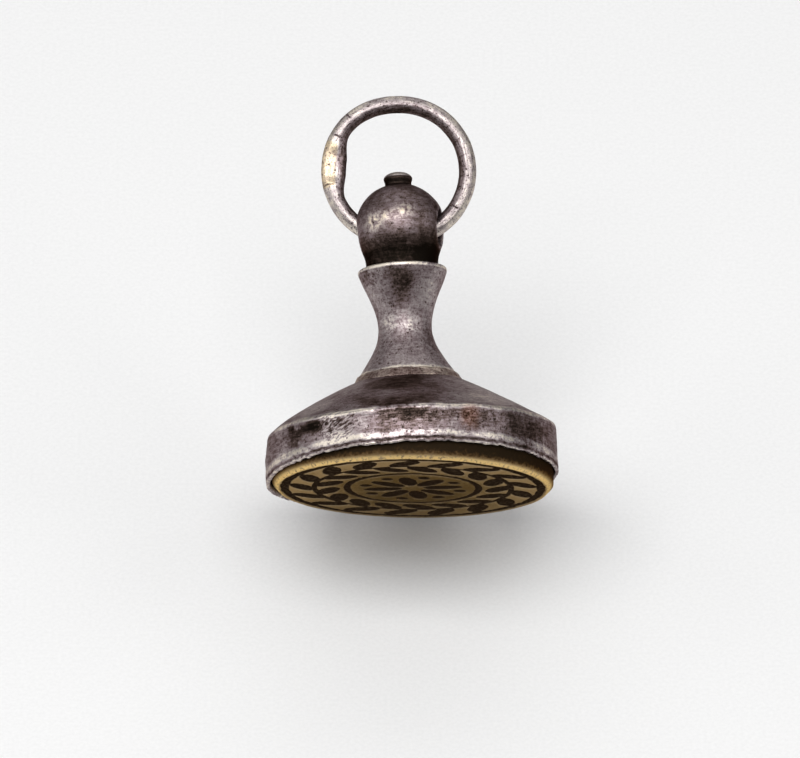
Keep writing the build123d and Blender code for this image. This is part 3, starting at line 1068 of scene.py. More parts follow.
class BoredBall(GeometrySheet):
    """The ball as a solid of distances: a sphere run into its neck, bored across and drilled for its pegs."""

    MARGIN = 4  # cells left free round the solid
    MOUTH = (0.5, 0.05)  # distance from the bore's wall at which its rubbed mouth starts and is full
    MOUTH_REACH = (3.0, 3.6)  # distance from the axis at which the mouths start
    NECK_SHADE = (2.2, -0.6)  # heights over the neck's top between which the ball darkens with painted shade
    NECK_SHADE_SHARE = 0.8
    CREASE_SHADE = 0.4  # height over the neck's top at which the darkest painted shade, round the crease, starts
    CREASE_SHADE_SHARE = 0.3
    TOP_DARK = 0.7  # depth below the land at which the darkening round the button starts
    TOP_DARK_SHARE = 0.6
    INSIDE = (-0.05, 0.1)  # distance into the bore at which its dirt starts and is full

    def __init__(self, bottom: float, top: float, reach: float, voxel: float) -> None:
        """Build the tree.

        Args:
            bottom: Lowest level of the solid, in millimetres.
            top: Its highest level.
            reach: Its largest distance from the axis.
            voxel: Size of the cells that the surface is found in.
        """
        super().__init__("bored_ball", {
            "Material": None, "Ball Level": 25.15, "Ball Radius": 4.35, "Neck Radius": 3.45, "Neck Top": 22.5,
            "Neck Blend": 0.9, "Bore Level": 24.95, "Bore Radius": 1.79, "Mouth Round": 0.3,
            "Dowel Radius": 1.3, "Dowel End": 22.8, "Land Level": 29.31, "Foot Level": 21.7,
            "Shank Radius": 0.75, "Shank End": 28.0,
        })
        given = self.given
        x, y, height = self.parts(self.scaled(self.place, 1.0 / MM))
        across = self.math("SQRT", x * x + y * y)
        above = height - given("Ball Level")
        ball = self.math("SQRT", across * across + above * above) - given("Ball Radius")
        neck = self.math("MAXIMUM", across - given("Neck Radius"), height - given("Neck Top"))
        body = self.math("SMOOTH_MIN", ball, neck, given("Neck Blend"))
        body = self.math("MAXIMUM", body, given("Foot Level") - height)
        body = self.math("MAXIMUM", body, height - given("Land Level"))
        raised = height - given("Bore Level")
        bore = given("Bore Radius") - self.math("SQRT", y * y + raised * raised)
        body = self.math("SMOOTH_MAX", body, bore, given("Mouth Round"))
        dowel = self.math("MINIMUM", given("Dowel Radius") - across, given("Dowel End") - height)
        shank = self.math("MINIMUM", given("Shank Radius") - across, height - given("Shank End"))
        body = self.math("MAXIMUM", body, self.math("MAXIMUM", dowel, shank))
        margin = self.MARGIN * voxel
        low = bottom - margin
        high = top + margin
        far = reach + margin
        across_cells = int(2 * far / voxel)
        volume = self.field("GeometryNodeVolumeCube", {
            "Density": body * -1.0,
            "Background": -1.0,
            "Min": (-far * MM, -far * MM, low * MM),
            "Max": (far * MM, far * MM, high * MM),
            "Resolution X": across_cells,
            "Resolution Y": across_cells,
            "Resolution Z": int((high - low) / voxel),
        })
        inputs = {"Volume": volume, "Threshold": 0.0}
        mesh = self.field("GeometryNodeVolumeToMesh", inputs, resolution_mode="GRID")
        inside = self.smooth(bore, *self.INSIDE)
        mouth = self.smooth(self.math("ABSOLUTE", bore), *self.MOUTH) * self.smooth(across, *self.MOUTH_REACH)
        grime_and_shade = self.math("MAXIMUM", self.neck_and_top_darkening(height), inside)
        marked = self.marked(mesh, Mark.WEAR_AND_SHEEN, mouth * (1.0 - inside))
        self.close(self.marked(marked, Mark.GRIME_AND_SHADE, grime_and_shade))

    def neck_and_top_darkening(self, height: Field) -> Field:
        """Darken the ball with painted shade towards its neck, and darken it round the button.

        Args:
            height: Height of a place, in millimetres.

        Returns:
            The darkening's share at each place.
        """
        neck = self.given("Neck Top")
        land = self.given("Land Level")
        low = self.smooth(height, neck + self.NECK_SHADE[0], neck + self.NECK_SHADE[1]) * self.NECK_SHADE_SHARE
        low = low + self.smooth(height, neck + self.CREASE_SHADE, neck) * self.CREASE_SHADE_SHARE
        high = self.smooth(height, land - self.TOP_DARK, land) * self.TOP_DARK_SHARE
        return self.math("MAXIMUM", low, high)


@dataclass(frozen=True)
class CrossCut:
    """A short cut across the ring's wire."""

    angle: float  # place round the ring, in degrees
    reach: float  # middle of the cut, outwards from the middle of the wire, in millimetres


class WireRing(GeometrySheet):
    """A ring of wire swept round a circle, thick and flat at its joint, with filed flats and cross cuts."""

    CUTS = (CrossCut(130.0, 0.5), CrossCut(148.0, 0.1), CrossCut(189.0, 0.4), CrossCut(-36.0, -0.15))
    PATH_POINTS = 840
    WIRE_POINTS = 48
    FILING = Clouds(4.0 * MM, 1.0)  # where the wire is filed flat
    FILING_SPAN = (0.4, 0.6)
    CUT_SLANT = 0.12
    CUT_CORE = 0.5  # share of a cut's length that is deepest
    CUT_FRONT = (0.1 * MM, 0.4 * MM)  # the cuts run out where the wire turns to its back
    JOINT_CORE = 0.18  # share of the joint's reach where it is thickest
    PLATE = (0.75, 0.5)  # shares of the joint's reach where its rubbed plate starts and is full
    LID_CLEAR = 1.5  # wire radii at which the joint's flat clears the rest of the wire
    LID_ROUND = 0.15 * MM
    SHADED_INSIDE = (0.1, -0.9)  # wire radii between which the inside of the ring takes painted shade
    SHADED_INSIDE_SHARE = 0.8
    OUTER = (0.1, 0.9)  # wire radii between which the outside of the ring is rubbed and also carries a painted highlight
    OUTER_WEAR_AND_SHEEN = 0.6

    def __init__(self) -> None:
        """Build the tree."""
        super().__init__("wire_ring", {
            "Material": None, "Ring Level": 30.73 * MM, "Ring Radius": 6.6 * MM, "Wire Radius": 0.825 * MM,
            "Joint Angle": math.radians(172.0), "Joint Reach": math.radians(33.0),
            "Joint Thickness": 1.2 * MM, "Joint Width": 0.75 * MM, "Joint Inset": 0.3 * MM,
            "Joint Flat": 0.5 * MM, "Flat Depth": 0.02 * MM, "Flat Count": 9.0,
            "Bend Angle": math.radians(132.0), "Bend Reach": math.radians(46.0), "Bend Height": 0.24 * MM,
            "Cut Depth": 0.08 * MM, "Cut Width": 0.1 * MM, "Cut Length": 0.45 * MM,
        })
        given = self.given
        wire = given("Wire Radius")
        path_size = {"Resolution": self.PATH_POINTS, "Radius": given("Ring Radius")}
        path = self.field("GeometryNodeCurvePrimitiveCircle", path_size)
        section_size = {"Resolution": self.WIRE_POINTS, "Radius": wire}
        section = self.field("GeometryNodeCurvePrimitiveCircle", section_size)
        tube = self.field("GeometryNodeCurveToMesh", {"Curve": path, "Profile Curve": section})
        x, y, side = self.parts(self.place)
        angle = self.math("ARCTAN2", y, x)
        reach = self.math("SQRT", x * x + y * y) - given("Ring Radius")
        off_joint = self.math("ABSOLUTE", self.turned_from(x, y, given("Joint Angle")))
        joint = self.smooth(off_joint, given("Joint Reach"), given("Joint Reach") * self.JOINT_CORE)
        thick = self.blend(joint, 1.0, given("Joint Thickness") / wire)
        wide = self.blend(joint, 1.0, given("Joint Width") / wire)
        round_wire = self.math("ARCTAN2", side, reach)
        flats = self.math("COSINE", round_wire * given("Flat Count")) * given("Flat Depth")
        flats = flats * self.smooth(self.noise(self.place, self.FILING), *self.FILING_SPAN)
        cut = self.cross_cuts(x, y, side, reach)
        shrink = 1.0 - (flats + cut * given("Cut Depth")) / wire
        new_reach = reach * thick * shrink - given("Joint Inset") * joint
        lid = self.blend(joint, wire * self.LID_CLEAR, given("Joint Flat"))
        new_side = self.math("SMOOTH_MIN", side * wide * shrink, lid, self.LID_ROUND)
        off_bend = self.math("ABSOLUTE", self.turned_from(x, y, given("Bend Angle")))
        bent = self.smooth(off_bend, given("Bend Reach"), 0.0) * given("Bend Height")
        far = new_reach + bent + given("Ring Radius")
        shaped = self.joined(far * self.math("COSINE", angle), far * self.math("SINE", angle), new_side)
        # painted shade inside the ring; wear with a painted highlight on its outside
        inner = self.smooth(reach, *(wire * share for share in self.SHADED_INSIDE))
        outer = self.smooth(reach, *(wire * share for share in self.OUTER))
        plate = self.smooth(off_joint, *(given("Joint Reach") * share for share in self.PLATE))
        worn = self.math("MAXIMUM", outer * self.OUTER_WEAR_AND_SHEEN, plate)
        marked = self.marked(tube, Mark.GRIME_AND_SHADE, self.math("MAXIMUM", inner * self.SHADED_INSIDE_SHARE, cut))
        marked = self.marked(marked, Mark.WEAR_AND_SHEEN, worn * (1.0 - inner))
        ring = self.field("GeometryNodeSetPosition", {"Geometry": marked, "Position": shaped})
        upright = self.field("FunctionNodeEulerToRotation", {0: (math.pi / 2, 0.0, 0.0)})
        place = self.joined(0.0, 0.0, given("Ring Level"))
        inputs = {"Geometry": ring, "Translation": place, "Rotation": upright}
        self.close(self.field("GeometryNodeTransform", inputs))

    def cross_cuts(self, x: Field, y: Field, side: Field, reach: Field) -> Field:
        """Lay out the short cuts on the front of the wire.

        Args:
            x: Place of a point across the ring.
            y: Its place up the ring.
            side: How far it lies to the front of the ring's middle plane.
            reach: How far it lies outwards from the middle of the wire.

        Returns:
            The depth of the cuts, from 0 to 1.
        """
        length = self.given("Cut Length")
        front = self.smooth(side, *self.CUT_FRONT)
        cut: Field | float = 0.0
        for place in self.CUTS:
            turn = self.turned_from(x, y, math.radians(place.angle))
            along = turn * self.given("Ring Radius") + side * self.CUT_SLANT
            one = self.smooth(self.math("ABSOLUTE", along), self.given("Cut Width"), 0.0)
            from_middle = self.math("ABSOLUTE", reach - place.reach * MM)
            one = one * self.smooth(from_middle, length, length * self.CUT_CORE)
            cut = self.math("MAXIMUM", cut, one * front)
        return cut

    def turned_from(self, x: Field, y: Field, angle: Field | float) -> Field:
        """Measure a point's angle round the ring from another angle.

        Args:
            x: Place of the point across the ring.
            y: Its place up the ring.
            angle: The angle to measure from.

        Returns:
            The turn, from minus to plus a half turn.
        """
        cosine = self.math("COSINE", angle)
        sine = self.math("SINE", angle)
        return self.math("ARCTAN2", y * cosine - x * sine, x * cosine + y * sine)


def reach_of(node: str) -> tuple[float, float, float]:
    """Radius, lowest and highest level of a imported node, in millimetres."""
    low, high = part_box(node)
    return high.y / MM, low.z / MM, high.z / MM


def ride_for(piece: Object, node: str, body: Body, slot: Slot) -> None:
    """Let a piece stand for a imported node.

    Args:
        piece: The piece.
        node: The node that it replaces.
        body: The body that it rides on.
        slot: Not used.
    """
    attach(piece, body.value)
    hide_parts(node)
    LOG.info("%s: %d faces", piece.name, len(piece.data.polygons))


@dataclass(frozen=True)
class FaceStep:
    """One point of the band's worn face, in millimetres."""

    rise: float  # height over the band's lower edge
    proud: float  # how far it stands out from the solid's face
    spacing: float  # of the mesh's rows on the way to it


@dataclass
class SealBase:
    """The engraved brass disc, the silver band round it and the dome that closes them, in millimetres."""

    band_wall: float = 0.4
    band_face: tuple[FaceStep, ...] = (
        FaceStep(0.0, -0.04, 0.1),  # worn corner
        FaceStep(0.16, 0.01, 0.06),  # burr
        FaceStep(0.3, -0.08, 0.06),  # crease
        FaceStep(0.45, 0.01, 0.06),  # foot of the rubbed swell
        FaceStep(0.8, 0.02, 0.08),  # rubbed swell
        FaceStep(1.5, -0.03, 0.1),  # flat of the band
    )
    band_setback: float = 0.02  # of the band's top
    edge_low: float = 0.55  # height of the band's lower edge where it is whole
    edge_arch: float = 1.0  # how far it is worn away at the front
    edge_power: float = 1.1
    edge_turn: float = math.radians(-86.0)
    edge_strip: float = 0.8  # strip over the lower edge that moves with it
    ridge_strip: float = 0.3  # strip under the band's top that moves with the ridge
    ridge_reach: float = 1.1  # how far the ridge's waves run into the dome
    ridge: Waver = Waver(5, 4, 30, 0.035)
    rag: Waver = Waver(11, 7, 80, 0.02, 0.7)
    fray: Waver = Waver(17, 60, 180, 0.005, 0.4)
    rubbed_sheen_height: float = 0.85  # strip of the band that is rubbed bright and also carries a painted highlight, above its lower edge
    rubbed_sheen_reach: float = 0.4
    seam_reach: float = 0.2  # stretch beside the seam of band and dome that isn't rubbed
    disc_tilt: float = math.radians(3.5)  # the disc is set a little out of true
    disc_turn: float = math.radians(33.0)
    disc_drop: float = 0.3
    disc_play: float = 0.1
    disc_height: float = 3.0
    disc_cells: int = 264
    lug_radius: float = 2.5
    bevel: float = 0.5
    bevel_highlight_end: float = 1.2  # height at which the bevel's painted highlight has faded, in bevels
    rim_land: float = 0.2  # flat strip inside the bevel that the painted highlight takes in
    rim_fade: float = 0.1
    bevel_highlight_front: float = 1.6  # how far round from the front the bevel's painted highlight reaches
    side_shade_start: float = 0.4  # height at which the disc's side starts to darken with painted shade, in bevels
    side_shade_fade: float = 0.25  # height over which the painted shade darkens
    rim_height: float = 0.4
    rim_swell: float = 0.08
    dome_bulge: float = 0.2
    crown_wear: float = 0.02
    crown_wall: float = 0.9
    crown_setback: float = 0.4
    lean_turn: float = math.radians(-171.0)  # side to which the dome leans and is knocked in
    lean_reach: float = 0.2
    lean_rim: float = 1.5  # stretch inside the rim over which the lean comes in
    lean_crown: float = 2.0  # stretch outside the crown over which it comes in
    shoulder_dent: float = 0.25
    shoulder_height: float = 1.6  # how far down the band the dent runs out
    seam_lap: float = 0.35  # the dome's rim runs on this far inside the band
    tenon_hole: float = 2.25
    fit_gap: float = 0.05
    segments: int = 760

    def build(self, skin: WeatheredSkin, silver: Material, brass: Material) -> None:
        """Build and dress the three pieces.

        Args:
            skin: The skin that all metal gets.
            silver: Finish of the band and the dome.
            brass: Finish of the disc.
        """
        self.build_disc(skin, brass)
        band = turned("band", self.band_outline(), self.segments, self.band_shape, self.band_rub)
        skin.bake(band, Material=silver, Seed=3, Pit_Density=0.9e6, Pit_Radius=0.11 * MM, Dent_Size=2.2 * MM,
                  Dent_Depth=0.07 * MM)
        ride_for(band, "bezel_band", Body.STAMP, Slot.SILVER)
        dome = turned("dome", self.dome_outline(), self.segments, self.dome_shape, self.dome_rub)
        skin.bake(dome, Material=silver, Seed=4, Pit_Density=0.2e6, Dent_Size=4.0 * MM, Dent_Depth=0.09 * MM)
        ride_for(dome, "dome_shell", Body.STAMP, Slot.SILVER)

    def build_disc(self, skin: WeatheredSkin, brass: Material) -> None:
        """Build, engrave and dress the brass disc, and set it out of true.

        Args:
            skin: The skin that all metal gets.
            brass: Finish of the disc.
        """
        vertices, faces = self.disc_mesh()
        disc = new_piece("matrix", vertices, faces, self.disc_marks(vertices))
        EngravedFace().bake(disc, Material=brass)
        tilt_axis = Vector((-math.sin(self.disc_turn), math.cos(self.disc_turn), 0.0))
        drop = Matrix.Translation((0.0, 0.0, -self.disc_drop * MM))
        disc.data.transform(drop @ Matrix.Rotation(self.disc_tilt, 4, tilt_axis))
        skin.bake(disc, Material=brass, Seed=2, Pit_Density=1.0e6, Pit_Radius=0.05 * MM, Pit_Depth=0.02 * MM,
                  Dent_Depth=0.03 * MM)
        ride_for(disc, "seal_matrix", Body.STAMP, Slot.BRASS)

    def disc_radius(self) -> float:
        """Radius of the disc, which lies loosely in the band."""
        return reach_of("bezel_band")[0] - self.band_wall - self.fit_gap - self.disc_play

    def face_radius(self) -> float:
        """Radius of the flat face inside the bevel."""
        return self.disc_radius() - self.bevel

    def disc_rows(self) -> Array:
        """Choose the rows of the bevel, the side and the lug.

        Returns:
            Their radius and height, from the edge of the face up.
        """
        radius = self.disc_radius()
        top = reach_of("seal_matrix")[2]
        outline = Outline(softness=0.05, closed=False)
        outline.start(self.face_radius(), 0.0)
        outline.line(radius, self.bevel, spacing=0.1)
        outline.line(radius, self.disc_height, spacing=0.35)
        outline.line(self.lug_radius, self.disc_height, spacing=4.0)
        outline.line(self.lug_radius, top, spacing=1.5)
        outline.line(0.0, top, spacing=1.0)
        rows, _, _ = outline.rows()
        rows[0] = (self.face_radius(), 0.0)
        return rows

    def disc_net(self) -> tuple[Array, Array, Array]:
        """Lay an even net of squares over the face, drawn round towards its edge.

        Returns:
            The net's points, its squares, and the points of its edge in order.
        """
        half = self.disc_cells // 2
        steps = np.arange(-half, half + 1) / half
        across, up = np.meshgrid(steps, steps, indexing="ij")
        wide = np.abs(across) >= np.abs(up)
        reach = np.where(wide, across, up)
        share = np.where(wide, up, across) / np.where(reach == 0.0, 1.0, reach)
        angle = np.where(wide, share * math.pi / 4, math.pi / 2 - share * math.pi / 4)
        face = np.stack([reach * np.cos(angle), reach * np.sin(angle), 0.0 * reach], axis=-1)
        side = self.disc_cells + 1
        index = np.arange(side * side).reshape(side, side)
        corners = (index[:-1, :-1], index[:-1, 1:], index[1:, 1:], index[1:, :-1])
        quads = np.stack(corners, axis=-1).reshape(-1, 4)
        edges = (index[-1, :-1], index[::-1, -1][:-1], index[0, ::-1][:-1], index[:, 0][:-1])
        return face.reshape(-1, 3) * self.face_radius(), quads, np.concatenate(edges)

    def disc_mesh(self) -> tuple[Array, list]:
        """Run the net of the face over the bevel, the side and the lug.

        Returns:
            The disc's points and faces.
        """
        face, quads, border = self.disc_net()
        heading = face[border, :2] / self.face_radius()
        points = [face]
        rings = [border]
        total = len(face)
        for radius, level in self.disc_rows()[1:-1]:
            points.append(np.column_stack([heading * radius, np.full(len(border), level)]))
            rings.append(np.arange(total, total + len(border)))
            total += len(border)
        faces = quads.tolist()
        for below, above in zip(rings, rings[1:]):
            walls = np.stack([below, np.roll(below, -1), np.roll(above, -1), above], axis=-1)
            faces.extend(walls.tolist())
        faces.append(rings[-1].tolist())
        return np.concatenate(points), faces

    def disc_marks(self, vertices: Array) -> dict[Mark, Array]:
        """Mark the painted highlight on the bevel at the front, over its rubbed brass, and the painted shade
        on the side.

        Args:
            vertices: The disc's points.

        Returns:
            Wear with a painted highlight on the bevel, and painted shade on the side.
        """
        away = np.linalg.norm(vertices[:, :2], axis=1)
        # the bevel keeps its painted highlight on the side that faces the front
        facing = np.cos(np.arctan2(vertices[:, 1], vertices[:, 0]) - self.edge_turn)
        rim = limited((away - self.face_radius() + self.rim_land) / self.rim_fade)
        rim = rim * limited(1.0 + self.bevel_highlight_front * facing)
        wear = rim * limited((self.bevel_highlight_end * self.bevel - vertices[:, 2]) / self.bevel)
        up_shaded_side = np.clip(vertices[:, 2] - self.side_shade_start * self.bevel, 0.0, None)
        return {Mark.WEAR_AND_SHEEN: wear, Mark.GRIME_AND_SHADE: 1.0 - np.exp(-up_shaded_side / self.side_shade_fade)}

    def band_outline(self) -> Outline:
        """Draw the section of the band: a burr, a crease and a rubbed swell over its lower edge.

        Returns:
            The outline.
        """
        radius, _, top = reach_of("bezel_band")
        inner = radius - self.band_wall
        outline = Outline(softness=0.05, closed=True)
        outline.start(inner, self.edge_low)
        for step in self.band_face:
            outline.line(radius + step.proud, self.edge_low + step.rise, step.spacing)
        outline.line(radius - self.band_setback, top, spacing=0.1)
        outline.line(inner, top, spacing=0.15)
        outline.line(inner, self.edge_low, spacing=0.6)
        return outline

    def knocked(self, angle: Array) -> Array:
        """How far the shoulder is knocked in at the given angles."""
        return self.shoulder_dent * limited(np.cos(angle - self.lean_turn)) ** 2

    def band_shape(self, angle: Array, radius: Array, height: Array) -> tuple[Array, Array]:
        """Slant and fray the band's lower edge, knock in its shoulder and let its top follow the ridge.

        Args:
            angle: Angles round the axis.
            radius: Radius of the points.
            height: Height of the points.

        Returns:
            The new radius and height.
        """
        top = reach_of("bezel_band")[2]
        lift = self.edge_arch * limited(np.cos(angle - self.edge_turn)) ** self.edge_power
        lift = lift + self.rag(angle) + self.fray(angle)
        strip = top - self.ridge_strip
        share = limited((strip - height) / (strip - self.edge_low - self.edge_strip))
        upper = limited(1.0 - (top - height) / self.shoulder_height)
        return radius - self.knocked(angle) * upper, height + lift * share + self.ridge(angle) * (1.0 - share)

    def band_rub(self, places: Array, wear: Array) -> Array:
        """Rub a strip over the band's lower edge bright, also as a painted highlight, and nothing at its
        seam.

        Args:
            places: Radius and height of the rows.
            wear: Wear of the ridges.

        Returns:
            The band's wear.
        """
        above = places[:, 1] - self.edge_low - self.rubbed_sheen_height
        strip = np.exp(-((above / self.rubbed_sheen_reach) ** 2))
        below_seam = reach_of("bezel_band")[2] - places[:, 1]
        return np.maximum(wear * limited(below_seam / self.seam_reach - 1.0), strip)

    def dome_outline(self) -> Outline:
        """Draw the section of the dome: a worn rim, a full slope, and the hollow that the cement fills.

        Returns:
            The outline.
        """
        rim, low, top = reach_of("dome_shell")
        rim += self.rim_swell
        foot = low - self.seam_lap
        inner = reach_of("bezel_band")[0] - self.band_wall
        crown = reach_of("solder_seam")[0] - self.crown_wear
        ceiling = top - self.crown_wall
        outline = Outline(softness=0.16, closed=True)
        outline.start(inner, foot)
        outline.line(rim, foot, spacing=0.15)
        outline.line(rim, low + self.rim_height, spacing=0.07)
        outline.arc(crown, top, self.dome_bulge, spacing=0.13)
        outline.line(self.tenon_hole, top, spacing=0.5)
        outline.line(self.tenon_hole, ceiling, spacing=0.5)
        outline.line(crown - self.crown_setback, ceiling, spacing=1.0)
        outline.arc(inner, foot, -self.dome_bulge, spacing=1.0)
        return outline

    def dome_shape(self, angle: Array, radius: Array, height: Array) -> tuple[Array, Array]:
        """Let the dome's rim follow the ridge and the knocked shoulder, and its slope lean to one side.

        Args:
            angle: Angles round the axis.
            radius: Radius of the points.
            height: Height of the points.

        Returns:
            The new radius and height.
        """
        rim = reach_of("dome_shell")[0]
        crown = reach_of("solder_seam")[0]
        near = np.exp(-((radius - rim) / self.ridge_reach) ** 2)
        slope = limited((rim - radius) / self.lean_rim)
        slope = slope * limited((radius - crown) / self.lean_crown)
        shift = self.lean_reach * np.cos(angle - self.lean_turn) * slope - self.knocked(angle) * near
        return radius + shift, height + self.ridge(angle) * near

    def dome_rub(self, places: Array, wear: Array) -> Array:
        """Wear of the dome, with none at its seam."""
        above_seam = places[:, 1] - reach_of("dome_shell")[1]
        return wear * limited(above_seam / self.seam_reach)


@dataclass
class WaistedStem:
    """The turned stem with its tenon and collar, and the solder round its foot, in millimetres."""

    tenon_radius: float = 2.2
    foot_radius: float = 4.66
    foot_lean: float = math.radians(33.0)
    waist_radius: float = 2.56
    waist_height: float = 4.6
    collar_radius: float = 4.28
    collar_lean: float = math.radians(20.0)
    collar_edge: float = 0.25
    collar_drop: float = 0.62  # the worn collar ends this far below the ball's foot
    collar_height: float = 0.6
    bevel_height: float = 0.08
    bevel_width: float = 0.1
    rim_height: float = 0.3  # rubbed strip at the top of the collar, which also carries a painted highlight
    rim_width: float = 0.35
    rub_fade: float = 0.08
    socket_radius: float = 1.3
    socket_depth: float = 3.55
    solder_gap: float = 0.05
    solder_edge: float = 0.04  # worn off the solder's lower edge
    solder_shoulder: float = 0.16  # width and height of the solder's steep upper part
    solder_brow: float = 0.12
    solder_run: float = 0.55  # how much further the solder runs out at the front
    solder_lean: float = math.radians(26.0)
    solder_turn: float = math.radians(-81.0)
    segments: int = 360

    def build(self, skin: WeatheredSkin, silver: Material, solder: Material) -> None:
        """Build and dress the stem and its solder.

        Args:
            skin: The skin that all metal gets.
            silver: Finish of the stem.
            solder: Finish of the solder.
        """
        stem = turned("waisted_stem", self.stem_outline(), self.segments, rub=self.stem_rub)
        skin.bake(stem, Material=silver, Seed=6, Pit_Density=0.8e6, Dent_Size=2.5 * MM,
                  Grain_Depth=0.018 * MM)
        ride_for(stem, "stem", Body.STAMP, Slot.SILVER)
        seam = turned("solder", self.solder_outline(), self.segments, self.solder_shape)
        skin.bake(seam, Material=solder, Seed=7, Pit_Density=2.5e6, Dent_Size=1.1 * MM, Dent_Depth=0.12 * MM,
                  Grain_Size=0.3 * MM, Grain_Depth=0.05 * MM)
        ride_for(seam, "solder_seam", Body.STAMP, Slot.SOLDER)

    def stem_rub(self, places: Array, wear: Array) -> Array:
        """Rub the collar along its rim only, as wear and as a painted highlight.

        Args:
            places: Radius and height of the rows.
            wear: Wear of the ridges.

        Returns:
            The stem's wear.
        """
        below_top = reach_of("stem")[2] - self.collar_drop - places[:, 1]
        inside = self.collar_radius - places[:, 0]
        on_rim = limited((self.rim_height - below_top) / self.rub_fade + 1.0)
        on_rim *= limited((self.rim_width - inside) / self.rub_fade)
        on_collar = limited((self.collar_height - below_top) / self.rub_fade)
        return wear * (1.0 - on_collar) + on_rim * on_collar

    def stem_outline(self) -> Outline:
        """Draw the section of the stem, from its tenon up to the dowel's socket.

        Returns:
            The outline.
        """
        _, low, top = reach_of("stem")
        top -= self.collar_drop
        _, crown, foot = reach_of("solder_seam")
        waist = foot + self.waist_height
        collar = top - self.bevel_height - self.collar_edge
        upward = (0.0, 1.0)
        leave = (-math.sin(self.foot_lean), math.cos(self.foot_lean))
        arrive = (math.sin(self.collar_lean), math.cos(self.collar_lean))
        outline = Outline(softness=0.09, closed=False)
        outline.start(0.0, low)
        outline.line(self.tenon_radius, low, spacing=0.8)
        outline.line(self.tenon_radius, crown, spacing=0.8)
        outline.line(self.foot_radius, crown, spacing=0.8)
        outline.line(self.foot_radius, foot, spacing=0.1)
        outline.curve(self.waist_radius, waist, leave, upward, spacing=0.09)
        outline.curve(self.collar_radius, collar, upward, arrive, spacing=0.09)
        outline.line(self.collar_radius, collar + self.collar_edge, spacing=0.08)
        outline.line(self.collar_radius - self.bevel_width, top, spacing=0.08)
        outline.line(self.socket_radius, top, spacing=0.3)
        outline.line(self.socket_radius, top - self.socket_depth, spacing=1.0)
        outline.line(0.0, top - self.socket_depth, spacing=0.6)
        return outline

    def solder_shape(self, angle: Array, radius: Array, height: Array) -> tuple[Array, Array]:
        """Let the solder's lower edge run out further down the dome at the front.

        Args:
            angle: Angles round the axis.
            radius: Radius of the points.
            height: Height of the points.

        Returns:
            The new radius and height.
        """
        inner = self.foot_radius + self.solder_gap
        share = limited((radius - inner) / (reach_of("solder_seam")[0] - inner))
        run = self.solder_run * share * limited(np.cos(angle - self.solder_turn))
        return radius + run, height - run * math.tan(self.solder_lean)

    def solder_outline(self) -> Outline:
        """Draw the section of the solder's fillet.

        Returns:
            The outline.
        """
        radius, low, top = reach_of("solder_seam")
        inner = self.foot_radius + self.solder_gap
        outline = Outline(softness=0.06, closed=True)
        outline.start(inner, low)
        outline.line(radius - self.solder_edge, low, spacing=0.1)
        outline.line(self.foot_radius + self.solder_shoulder, top - self.solder_brow, spacing=0.06)
        outline.line(inner, top, spacing=0.06)
        outline.line(inner, low, spacing=0.3)
        return outline


